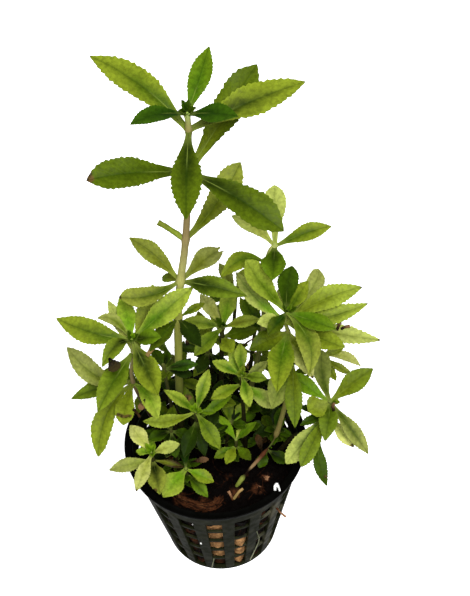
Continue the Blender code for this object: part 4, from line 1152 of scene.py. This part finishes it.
def add_leaf(shoot, layers, base, tip, width, kind, tones, rng, through=None, spots=()):
    """A leaf as a closed thin shell, from a grid that is bent, widened, toothed and folded."""
    length = (tip - base).length
    run = (tip - base).normalized()
    facing = LEAF_FACING - run * run.dot(LEAF_FACING)
    if facing.length < UPRIGHT_LEAF:
        facing = Vector((0, -1, 0)) + run * run.y
    facing.normalize()
    side = run.cross(facing)
    middle = bend_point(base, tip, facing, through)
    pitch = min(max(length * TOOTH_PITCH_SHARE, TOOTH_PITCHES[0]), TOOTH_PITCHES[1])
    teeth = max(5, round(length / pitch))
    rows = teeth * 3
    columns = 10 if length > LONG_LEAF else 8
    fold = LEAF_FOLD * rng.uniform(*LEAF_FOLD_CHANGES)
    twist = rng.uniform(-LEAF_TWIST, LEAF_TWIST)
    waves = rng.uniform(*LEAF_WAVES)
    phase = rng.uniform(0, math.tau)
    ruffle = rng.uniform(*LEAF_RUFFLES)
    chance = rng.random()
    bitten = kind == "bitten"
    grown = min(max((length / MM - YOUNG_LENGTH) / (GROWN_LENGTH - YOUNG_LENGTH), 0), 1)
    made = bmesh.ops.create_grid(shoot, x_segments=rows, y_segments=columns, size=1)["verts"]
    for vert in made:
        along, across = (vert.co.x + 1) / 2, vert.co.y
        row = round(along * rows)
        edge = abs(across)
        half = width / 2 * blade_half_width(min(along, BLUNT_FROM) if bitten else along, kind)
        if along > TEETH_FROM and row < rows:
            tooth = (row % 3) / 2 - 0.5
            uneven = 1 + TOOTH_UNEVEN * math.sin(row // 3 * 2.3 + phase + (across > 0))
            half += TOOTH_DEPTH * pitch * tooth * uneven * edge ** 4 * min(1, 3 * half / width)
        if bitten and along > TORN_FROM:
            along -= bite(along, across)
        start, end = base.lerp(middle, along), middle.lerp(tip, along)
        tangent = (end - start).normalized()
        turn = twist * math.sin(math.pi * along)
        upward = side.cross(tangent)
        sideways = side * math.cos(turn) + upward * math.sin(turn)
        upward = sideways.cross(tangent)
        lift = fold * half * (math.hypot(edge, FOLD_ROUNDNESS) - FOLD_ROUNDNESS)
        lift -= MIDRIB_DEPTH * max(0, 1 - edge * columns / 2) * (1 - 0.5 * along)
        lift += ruffle * half * edge ** 3 * math.sin(waves * math.tau * along + phase + (across > 0) * 2)
        ripple = math.cos(math.tau * VEINS * (along - VEIN_SLANT * edge))
        lift += VEIN_RELIEF * width * ripple * math.sin(math.pi * edge)
        vert.co = start.lerp(end, along) + sideways * across * half + upward * lift
        set_tones(vert, layers, along, tones)
        vert[layers["across"]] = across
        vert[layers["chance"]] = chance
        vert[layers["grown"]] = grown
        for spot_along, spot_across, radius in spots:
            apart = math.hypot((along - spot_along) * length, across * half - spot_across * width / 2)
            vert[layers["spoilt"]] = max(vert[layers["spoilt"]], 1 - apart / (radius * MM))
    close_leaf(shoot, layers, made, facing, bitten)


def stem_route(root, places):
    """A stem's path from under the medium's surface through its whorls, and each whorl's step on it."""
    foot = Vector((root[0] * MM, root[1] * MM, SOIL_LEVEL + CLEARANCE))
    first = places[0]
    lead = foot.lerp(first, STEM_LEAD) + Vector((0, 0, STEM_LEAD_RISE * (first.z - foot.z)))
    end = places[-1] + (places[-1] - (places[-2] if len(places) > 1 else lead)).normalized() * STEM_END
    route = smooth_route([foot, lead] + places + [end], STEM_STEPS)
    steps = [1 + STEM_STEPS * (index + 2) for index in range(len(places))]
    return [foot - Vector((0, 0, ROOTED_DEPTH))] + route, steps


def between_stops(stops, share):
    """The numbers at a share of the way along stops, each of which is its share and then its numbers."""
    for start, end in zip(stops, stops[1:]):
        if share <= end[0] or end is stops[-1]:
            part = min(max((share - start[0]) / (end[0] - start[0]), 0), 1)
            return [first + (second - first) * part for first, second in zip(start[1:], end[1:])]


def add_stem(shoot, layers, name, root, places, thickness, rng):
    """A stem that thins upwards and swells at each whorl, and its radius at each whorl."""
    route, steps = stem_route(root, places)
    last = len(route) - 1
    plain = [thickness / 2 * MM * (1 - STEM_TAPER * index / last) for index in range(last + 1)]
    radii = []
    for index, radius in enumerate(plain):
        swell = sum(math.exp(-((route[index] - route[step]).length / RING_LENGTH) ** 2) for step in steps)
        width = between_stops(STEM_WIDTHS.get(name, ((0, 1), (1, 1))), index / last)[0]
        radii.append(radius * width * (BETWEEN_RINGS + RING_SWELL * min(swell, 1)))
    radii[-1] *= STEM_END_SHARE
    chance = rng.random()
    for vert, share in add_tube(shoot, route, radii, STEM_SIDES, STEM_UNEVEN).items():
        tone = between_stops(STEM_TONES.get(name, USUAL_STEM_TONES), share)
        set_tones(vert, layers, share, [[change * part for part in tone] for change in STREAK_CHANGES])
        vert[layers["chance"]] = chance
    return route, [plain[step] for step in steps]


def add_low_leaves(shoot, layers, route, rng):
    """Small leaves on a stem's lowest stretch, in dark tones that are painted shade under the rings above.
    """
    places = [point for point in route if LOW_LEAVES_OVER < point.z < LOW_LEAVES_UNDER]
    for place in places[::LOW_LEAF_STEP]:
        heading = rng.uniform(0, math.tau)
        for turn in range(3):
            length = rng.uniform(*LOW_LEAF_LENGTHS)
            stray = rng.uniform(-LOW_LEAF_STRAY, LOW_LEAF_STRAY)
            out = pointing(heading + turn * LOW_LEAF_TURN + stray, rng.uniform(*LOW_LEAF_RISES))
            tone = rng.choice(LOW_LEAF_TONES)
            tip = place + out * length
            if Vector((tip.x, tip.y)).length < LOW_LEAVES_WITHIN:
                add_leaf(shoot, layers, place, tip, length * SHORT_LEAF_SHARE, "blade", TONES[tone], rng)


def add_heart(shoot, layers, top, tone, rng):
    """The youngest leaves, a few tiny ones that stand up round a shoot's tip."""
    first = rng.uniform(0, math.tau)
    for index in range(YOUNGEST_LEAVES):
        out = pointing(first + index * YOUNGEST_TURN, rng.uniform(*YOUNGEST_RISES))
        grown = (YOUNGEST_LENGTH + YOUNGEST_GROWTH * (YOUNGEST_LEAVES - index)) * MM
        length = grown * rng.uniform(*YOUNGEST_CHANGES)
        base, tip = top + out * YOUNGEST_OFF, top + out * length
        add_leaf(shoot, layers, base, tip, length * SHORT_LEAF_SHARE, "blade", TONES[tone], rng)


def leaf_skin():
    """Living leaf: green that lightens to its tip and margin, with veins and cells, and a midrib that is
    pale near the stalk, with painted shadow of the fold along and beside it further out.
    """
    surface, tree, shader, place = new_material("leaf_skin")
    along = attribute(tree, "along")
    edge = reckon(tree, "ABSOLUTE", attribute(tree, "across"))
    base_tone = attribute(tree, "tone", "Color")
    tip_tone = attribute(tree, "tip_tone", "Color")
    mottle = grain(tree, place, 1100, 3)
    cells = grain(tree, place, 6500, 1)

    # The two tones meet unevenly, and further out along the midrib than at the margin
    reach = shifted(tree, along, grain(tree, place, 260, 3), 0.5, 0.6)
    reach = shifted(tree, reach, edge, 0.45, 0.5)
    colour = mix(tree, fade(tree, reach, 0.1, 0.86), base_tone, tip_tone)
    speckle = reckon(tree, "ADD", product(tree, mottle, 0.5), product(tree, cells, 0.2))
    shade = fade(tree, speckle, 0.24, 0.46, 0.66, 1.08)
    shades = add_node(tree, "CombineXYZ", {0: shade, 1: shade, 2: shade}).outputs[0]
    shaded = add_node(tree, "VectorMath", {0: colour, 1: shades}, operation="MULTIPLY").outputs[0]

    # Veins and midrib, which show more on a grown leaf and on a dark one
    forward = reckon(tree, "SUBTRACT", along, product(tree, edge, VEIN_SLANT))
    ripple = reckon(tree, "PINGPONG", product(tree, forward, VEINS), 0.5)
    vein = product(tree, fade(tree, ripple, 0.02, 0.11, 1, 0), fade(tree, edge, 0.75, 1, 1, 0))
    midrib = fade(tree, edge, 0.02, 0.11, 1, 0)
    green = add_node(tree, "SeparateColor", {0: tip_tone}).outputs["Green"]
    grown = fade(tree, attribute(tree, "grown"), 0, 1, 0.35, 1)
    relief = product(tree, grown, fade(tree, green, 0.15, 0.36, 1, 0.45))

    # The upper side, with a painted shadow of the fold along and beside the midrib
    upper = mix(tree, product(tree, fade(tree, edge, 0.84, 1.0), 0.5), shaded, tip_tone)
    # Painted shade of the fold: a dark band beside the midrib, and the midrib itself painted dark past the
    # stalk
    fold_shade = product(tree, fade(tree, edge, 0.05, 0.6, 0.45, 0), fade(tree, along, 0.15, 0.4), relief)
    upper = mix(tree, fold_shade, upper, mix(tree, 0.55, shaded, FOLD_SHADE_GREEN))
    upper = mix(tree, product(tree, vein, 0.1), upper, tip_tone)
    midrib_pale_to_shadowed = mix(tree, fade(tree, along, 0.25, 0.5), PALE_GREEN, mix(tree, 0.7, shaded, MIDRIB_SHADOW))
    upper = mix(tree, product(tree, midrib, 0.55, relief), upper, midrib_pale_to_shadowed)

    # The underside, then the stalk and rotten spots, which go right through
    ribbed = reckon(tree, "MAXIMUM", midrib, product(tree, vein, 0.4))
    below = mix(tree, product(tree, ribbed, 0.6), mix(tree, 0.35, shaded, UNDERSIDE), UNDERSIDE_VEIN)
    skin = mix(tree, attribute(tree, "underside"), upper, below)
    stalk = mix(tree, 0.5, tip_tone, LEAF_STALK)
    skin = mix(tree, fade(tree, along, 0.05, 0.24, 0.55, 0), skin, stalk)
    brown = mix(tree, fade(tree, mottle, 0.35, 0.65), ROT_BLACK, ROT_BROWN)
    rotten = reckon(tree, "ADD", attribute(tree, "spoilt"), product(tree, mottle, 0.9))
    skin = mix(tree, fade(tree, rotten, 0.72, 1.05, 0, 0.92), skin, brown)

    # The finish, with some light that comes through the leaf
    rough = reckon(tree, "ADD", mottle, product(tree, attribute(tree, "chance"), 0.2))
    height = reckon(tree, "SUBTRACT", product(tree, cells, 0.35), product(tree, vein, 0.5))
    height = reckon(tree, "SUBTRACT", height, product(tree, midrib, 0.8))
    normal = bump(tree, height, 0.5, 0.12 * MM)
    finish(tree, shader, skin, fade(tree, rough, 0.3, 0.9, 0.34, 0.55), normal, 0.05)
    through = mix(tree, 0.5, skin, LIT_THROUGH)
    glow = add_node(tree, "BsdfTranslucent", {"Color": through, "Normal": normal})
    both = add_node(tree, "MixShader", {0: 0.2, 1: shader.outputs[0], 2: glow.outputs[0]})
    tree.links.new(both.outputs[0], tree.nodes["Material Output"].inputs["Surface"])
    return surface


def stem_skin():
    """Soft stem, in the tones of its mesh, streaked along its length and blotched with brown."""
    surface, tree, shader, place = new_material("stem_skin")
    stretched = add_node(tree, "Mapping", {"Vector": place, "Scale": (3.0, 3.0, 0.35)}).outputs[0]
    streaks = grain(tree, stretched, 700, 4)
    reach = shifted(tree, attribute(tree, "along"), streaks, 0.5, 0.8)
    tones = (attribute(tree, "tone", "Color"), attribute(tree, "tip_tone", "Color"))
    colour = mix(tree, fade(tree, reach, 0.1, 0.9), *tones)
    blotches = fade(tree, grain(tree, place, 1800, 3), 0.55, 0.75, 0, 0.35)
    roughness = fade(tree, streaks, 0.3, 0.7, 0.38, 0.6)
    colour = mix(tree, blotches, colour, STEM_BLOTCH)
    finish(tree, shader, colour, roughness, bump(tree, streaks, 0.5, 0.2 * MM), 0.02)
    return surface


# The colours of stems: a share of the way from foot to tip, then the linear colour there. The near-black
# stretches low on the stems are painted shade under the leaves.
STEM_TONES = {
    "tall_stem": ((0, 0.01, 0.012, 0.003), (0.12, 0.02, 0.022, 0.005), (0.15, 0.12, 0.14, 0.025),
                  (0.19, 0.30, 0.32, 0.06), (0.28, 0.44, 0.46, 0.09), (0.43, 0.35, 0.34, 0.11),
                  (0.52, 0.25, 0.19, 0.08), (0.62, 0.21, 0.16, 0.06), (0.75, 0.18, 0.15, 0.05),
                  (0.86, 0.26, 0.32, 0.09), (1, 0.24, 0.35, 0.06)),
    "right_tall_stem": ((0, 0.04, 0.045, 0.012), (0.4, 0.12, 0.13, 0.03), (0.7, 0.26, 0.28, 0.08),
                        (1, 0.30, 0.36, 0.10)),
    "right_shoot": ((0, 0.12, 0.15, 0.02), (0.075, 0.24, 0.28, 0.05), (0.10, 0.01, 0.005, 0.003),
                    (0.13, 0.01, 0.005, 0.003), (0.15, 0.27, 0.18, 0.085), (0.19, 0.20, 0.11, 0.05),
                    (0.21, 0.09, 0.03, 0.014), (0.235, 0.09, 0.03, 0.012), (0.265, 0.03, 0.02, 0.006),
                    (0.28, 0.08, 0.10, 0.02), (0.325, 0.08, 0.07, 0.02), (0.345, 0.20, 0.16, 0.05),
                    (0.43, 0.20, 0.20, 0.045), (1, 0.14, 0.18, 0.03)),
    "left_shoot": ((0, 0.01, 0.006, 0.003), (0.32, 0.03, 0.016, 0.007), (0.42, 0.30, 0.22, 0.10),
                   (0.62, 0.34, 0.34, 0.12), (0.8, 0.16, 0.22, 0.035), (1, 0.08, 0.13, 0.01)),
}
# Painted shade: near black at the foot
USUAL_STEM_TONES = ((0, 0.006, 0.005, 0.002), (0.5, 0.02, 0.02, 0.006), (0.8, 0.07, 0.08, 0.018),
                    (1, 0.13, 0.17, 0.03))
# How thick a stem is on its way from foot to tip, as a share of its usual thickness there
STEM_WIDTHS = {
    "tall_stem": ((0, 1.15), (0.42, 1.2), (0.6, 1.05), (1, 1)),
    "right_shoot": ((0, 0.5), (0.03, 1.0), (0.08, 1.15), (0.10, 0.45), (0.13, 0.5), (0.16, 0.85),
                    (0.22, 0.9), (0.265, 0.4), (0.325, 0.4), (0.345, 1.3), (0.45, 1.25), (1, 1)),
    "left_shoot": ((0, 0.8), (0.35, 0.65), (0.7, 0.5), (1, 0.8)),
}
# The tone of the youngest leaves, where it isn't the fresh one
HEARTS = {"left_shoot": "dark", "right_shoot": "dark", "middle_shoot": "dark", "tall_stem": "dark",
          "star_shoot": "mid"}
leaf_surface = leaf_skin()
stem_surface = stem_skin()


def grow_shoot(name, shoot, places, rings, rng):
    """A shoot's pieces: one for all of it, or its stem and each leaf where the solids are separate."""
    separate = name in SEPARATE_LEAVES
    solid = bmesh.new()
    layers = shoot_layers(solid)
    route, radii = add_stem(solid, layers, name, shoot["root"], places, shoot["thickness"], rng)
    if name not in BARE_STEMS:
        add_low_leaves(solid, layers, route, rng)
    whole = None if separate else points_of(name)
    for place, ring, radius in zip(places, rings, radii):
        for key, spec in ring["leaves"].items():
            node = f"{name}_leaf_{key}"
            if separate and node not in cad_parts:
                continue
            tip = grown_tip(place, spec, ring["length"], points_of(node) if separate else whole)
            if tip is None:
                continue
            base = place + (tip - place).normalized() * radius * ROOTED_AT
            width = (spec["width"] or LEAF_SHARE * (tip - base).length / MM) * MM
            leaf_solid = bmesh.new() if separate else solid
            leaf_layers = shoot_layers(leaf_solid) if separate else layers
            if spec["kind"] == "stalk":
                halfway = base.lerp(tip, 0.5) + Vector((0, 0, STALK_ARCH))
                stalk_route = smooth_route([base, halfway, tip], 6)
                stalk = add_tube(leaf_solid, stalk_route, [width / 3] * len(stalk_route), 10, STALK_UNEVEN)
                for vert, share in stalk.items():
                    set_tones(vert, leaf_layers, share, tones_of(spec["tone"]))
            else:
                add_leaf(leaf_solid, leaf_layers, base, tip, width, spec["kind"],
                         tones_of(spec["tone"]), rng, spec["through"], SPOTS.get((name, key), ()))
            if separate:
                surfaces = [leaf_surface, leaf_surface]
                piece(f"{node}_grown", leaf_solid, surfaces, [node], LEAF_SMOOTH)
    if any(key in ("bud", "tip_bud") for key in rings[-1]["leaves"]):
        add_heart(solid, layers, places[-1], HEARTS.get(name, "fresh"), rng)
    piece(f"{name}_grown", solid, [stem_surface, leaf_surface], [name], LEAF_SMOOTH)


for index, (name, shoot) in enumerate(SHOOTS.items()):
    rings = shoot["whorls"]
    places = [seen_at(ring["pixel"], ring["behind"] * MM) for ring in rings]
    grow_shoot(name, shoot, places, rings, random.Random(SHOOT_SEED + index))

# The shoots at the back
# Like the others, but behind them: two rings of three leaves each, on a short stem that leans outwards.
# Each has its root and the top of its stem, in millimetres, and its first leaf's heading, in degrees.
HIDDEN_SHOOTS = {
    "back_shoot_left": dict(root=(-14, 8), top=(-21, 13, 66), turn=20),
    "back_shoot_middle_left": dict(root=(-8, 14), top=(-10, 19, 62), turn=75),
    "back_shoot_middle": dict(root=(1, 17), top=(1, 23, 66), turn=0),
    "back_shoot_middle_right": dict(root=(10, 15), top=(14, 20, 70), turn=50),
    "back_shoot_right": dict(root=(17, 9), top=(25, 14, 64), turn=10),
}
HIDDEN_THICKNESS = 1.5
HIDDEN_LEAF_LENGTH = 12 * MM
HIDDEN_SHORTER = 0.88
HIDDEN_WHORL_GAP = 9 * MM
HIDDEN_RISE = math.radians(24)
HIDDEN_SEED = 200

for index, (name, shoot) in enumerate(HIDDEN_SHOOTS.items()):
    foot = Vector((*shoot["root"], SOIL_LEVEL / MM)) * MM
    top = Vector(shoot["top"]) * MM
    places = [top + (foot - top).normalized() * HIDDEN_WHORL_GAP, top]
    rings = []
    for level, place in enumerate(places):
        leaves = {}
        for turn in range(3):
            heading = math.radians(shoot["turn"] + 120 * turn + 60 * level)
            out = Vector((math.cos(heading), math.sin(heading), math.tan(HIDDEN_RISE))).normalized()
            tip = place + out * HIDDEN_LEAF_LENGTH * (HIDDEN_SHORTER if level else 1)
            leaves[f"leaf_{level}_{turn}"] = dict(leaf(0, 0, "mid"), tip=tip)
        rings.append(dict(length=HIDDEN_LEAF_LENGTH / MM, leaves=leaves))
    shoot_rng = random.Random(HIDDEN_SEED + index)
    grow_shoot(name, dict(shoot, thickness=HIDDEN_THICKNESS), places, rings, shoot_rng)

# The loose bits
# Dead curled leaves, broken ends of stems and thin pale roots that hang on the plug and among the leaves.
# Each is laid on whatever its first pixel shows, and lies at that depth as seen from the camera.
BIT_OFF = 0.35 * MM
BIT_UNEVEN = 0.35
SCRAP_SEED = 31

# Bits of stem: thickness in millimetres, tone, and pixels
STEM_BITS = (
    (0.9, "dead", (188, 345), (187, 341), (190, 337)),
    (1.3, "tan", (147, 356), (150, 352), (152, 348)),
    (0.45, "dead", (243, 346), (251, 340), (262, 337)),
    (1.1, "tan", (247, 368), (252, 360), (256, 352)),
    (0.7, "tan", (139, 409), (142, 405), (143, 401)),
    (0.4, "pale", (135, 413), (138, 411), (141, 411)),
    (0.7, "litter", (133, 409), (137, 413), (140, 417)),
    (0.9, "dead", (334, 411), (333, 406), (335, 403)),
    (0.8, "dead", (337, 330), (339, 325), (341, 322)),
    (0.8, "dead", (341, 329), (345, 327), (350, 326)),
    (0.35, "fresh", (271, 448), (273, 442), (274, 436)),
    (0.8, "rust", (233, 500), (228.5, 491)),
    (0.9, "tan", (233.5, 499), (238, 493), (243, 488.5)),
    (0.6, "rust", (276.5, 508), (280, 512), (286, 517)),
)
# Dead and torn leaves: width in millimetres, tone, and base and tip pixels
LEAF_BITS = (
    (3.4, "charred", (109, 358), (117, 371)),
    (1.8, "dead", (145, 399), (140, 410)),
    (1.7, "litter dead", (191, 462), (209, 459)),
    (1.6, "rust", (169, 457), (180, 462)),
    (2.0, "litter", (262, 452), (257, 434)),
    (1.8, "litter", (272, 448), (267, 431)),
    (1.6, "litter", (258, 446), (268, 437)),
    (1.3, "rust", (262, 475), (270, 480)),
    (1.3, "rust", (256, 484), (262, 491)),
)
# Thin roots that come out through the slots
ROOT_BITS = (
    (0.32, "root", (257, 532), (259, 540), (254, 552), (250, 560)),
    (0.3, "root", (214, 559), (213, 563), (212, 567)),
)


def surface_at(pixel, off):
    """Where a pixel's line of sight first meets what is built so far, a little off its surface."""
    line = sight_line(pixel)
    met, place = bpy.context.scene.ray_cast(bpy.context.evaluated_depsgraph_get(), CAMERA_PLACE, line)[:2]
    if not met:
        raise ValueError(f"nothing is built yet at pixel {pixel}")
    return place - line * off


def wall_at(pixel):
    """Where a pixel's line of sight meets the pot's ribs, a little off them."""
    line = sight_line(pixel)
    place = seen_at(pixel, -RIM_RADIUS)
    while math.hypot(place.x, place.y) > wall_radius(place.z) + BIT_OFF:
        place += line * BIT_OFF / 4
    return place


def level_with(pixel, place):
    """The point that a pixel shows, as deep in the picture as another point."""
    line = sight_line(pixel)
    forward = camera_axes()[2]
    return CAMERA_PLACE + line * ((place - CAMERA_PLACE).dot(forward) / line.dot(forward))


def bit_route(pixels):
    """A smooth path through pixels, laid on what the first of them shows."""
    start = surface_at(pixels[0], BIT_OFF)
    return smooth_route([start] + [level_with(pixel, start) for pixel in pixels[1:]], 6)


def add_bit(solid, layers, thickness, tone, route):
    """A bent bit of stem or root, uneven in thickness."""
    radii = [thickness / 2 * MM] * len(route)
    for vert, share in add_tube(solid, route, radii, 8, BIT_UNEVEN).items():
        set_tones(vert, layers, share, TONES[tone])


# Leaf bits take the stem's finish too, because a dead leaf is as dull
scraps = bmesh.new()
scrap_layers = shoot_layers(scraps)
scrap_rng = random.Random(SCRAP_SEED)
for thickness, tone, *pixels in STEM_BITS:
    add_bit(scraps, scrap_layers, thickness, tone, bit_route(pixels))
for width, tone, from_pixel, to_pixel in LEAF_BITS:
    start = surface_at(from_pixel, BIT_OFF)
    end = level_with(to_pixel, start)
    add_leaf(scraps, scrap_layers, start, end, width * MM, "round", tones_of(tone), scrap_rng)
for face in scraps.faces:
    face.material_index = 0
piece("loose_scraps", scraps, [stem_surface], [], LEAF_SMOOTH)
roots = bmesh.new()
root_layers = shoot_layers(roots)
for thickness, tone, *pixels in ROOT_BITS:
    add_bit(roots, root_layers, thickness, tone, smooth_route([wall_at(pixel) for pixel in pixels], 6))
piece("thin_roots", roots, [stem_surface], [], LEAF_SMOOTH)

# The white crumb
# A rough white crumb, bent into a small arch, that lies on the plug by the rim at the right, and two
# white specks on the pot's hoops that are painted highlights.
CRUMB_ROUTE = ((275.2, 490.5), (275, 486.5), (276.8, 484.3), (278.6, 487), (280, 491))
CRUMB_RADIUS = 0.42 * MM
CRUMB_UNEVEN = 0.3
GLINT_SPECKS = (((192, 524), (194, 524.5)), ((200.3, 543), (201.8, 543.6)))
GLINT_SPECK_RADIUS = 0.25 * MM
CHALK = (0.92, 0.92, 0.9, 1)
CHALK_PIT = (0.35, 0.36, 0.34, 1)


def crumb_white():
    """Chalky white with a fine grain and a few grey pits."""
    surface, tree, shader, place = new_material("crumb_white")
    pits = patches(tree, place, 2400, 0.35, 0.55)
    tree.links.new(mix(tree, pits, CHALK_PIT, CHALK), shader.inputs["Base Color"])
    shader.inputs["Roughness"].default_value = 0.8
    tree.links.new(bump(tree, grain(tree, place, 4000, 4), 0.6, 0.2 * MM), shader.inputs["Normal"])
    return surface


crumb = bmesh.new()
crumb_route = bit_route(CRUMB_ROUTE)
steps = len(crumb_route) - 1
crumb_radii = [CRUMB_RADIUS * (0.7 + 0.3 * math.sin(math.pi * step / steps)) for step in range(steps + 1)]
add_tube(crumb, crumb_route, crumb_radii, 12, CRUMB_UNEVEN)
# Painted highlights: two white specks that stand for glints on the hoops
for pixels in GLINT_SPECKS:
    glint_route = bit_route(pixels)
    add_tube(crumb, glint_route, [GLINT_SPECK_RADIUS] * len(glint_route), 8, CRUMB_UNEVEN)
piece("white_crumb", crumb, [crumb_white()], [], 60)

# The studio
# A pale floor and soft light: a broad lamp high over the viewer's shoulder, a weaker one on the other
# side, and a dim surround.
FLOOR_SIZE = 4
KEY_LIGHT = dict(place=(0.1, -0.45, 0.9), size=0.45, watts=15)
FILL_LIGHT = dict(place=(-0.6, -0.5, 0.55), size=0.5, watts=2)
SURROUND = 0.35
LAMPS_AIM = Vector((0, 0, 70)) * MM
FLOOR_GREY = (0.3, 0.3, 0.3, 1)
WHITE = (1, 1, 1, 1)
FLOOR_GLOW = 0.75


def add_lamp(name, place, size, watts):
    """A square lamp that points at the plant."""
    lamp = in_scene(name, bpy.data.lights.new(name, "AREA"))
    lamp.data.size = size
    lamp.data.energy = watts
    lamp.location = place
    lamp.rotation_euler = (LAMPS_AIM - Vector(place)).to_track_quat("-Z", "Y").to_euler()


add_lamp("key_light", **KEY_LIGHT)
add_lamp("fill_light", **FILL_LIGHT)
world = bpy.data.worlds.new("surround")
bpy.context.scene.world = world
world.use_nodes = True
world.node_tree.nodes["Background"].inputs["Color"].default_value = WHITE
world.node_tree.nodes["Background"].inputs["Strength"].default_value = SURROUND

ground = bmesh.new()
bmesh.ops.create_grid(ground, x_segments=1, y_segments=1, size=FLOOR_SIZE / 2)
floor = in_scene("floor", bpy.data.meshes.new("floor"))
ground.to_mesh(floor.data)
ground.free()
surface, tree, shader, place = new_material("pale_floor")
shader.inputs["Base Color"].default_value = FLOOR_GREY
shader.inputs["Roughness"].default_value = 0.9
shader.inputs["Specular IOR Level"].default_value = 0
pale = add_node(tree, "BsdfDiffuse", {"Color": WHITE})
bright = add_node(tree, "Emission", {"Color": WHITE, "Strength": FLOOR_GLOW})
seen = add_node(tree, "AddShader", {0: pale.outputs[0], 1: bright.outputs[0]})
choice = add_node(tree, "MixShader", {0: add_node(tree, "LightPath").outputs["Is Camera Ray"],
                                      1: shader.outputs[0], 2: seen.outputs[0]})
tree.links.new(choice.outputs[0], tree.nodes["Material Output"].inputs["Surface"])
floor.data.materials.append(surface)
bpy.context.scene.view_settings.view_transform = "Standard"
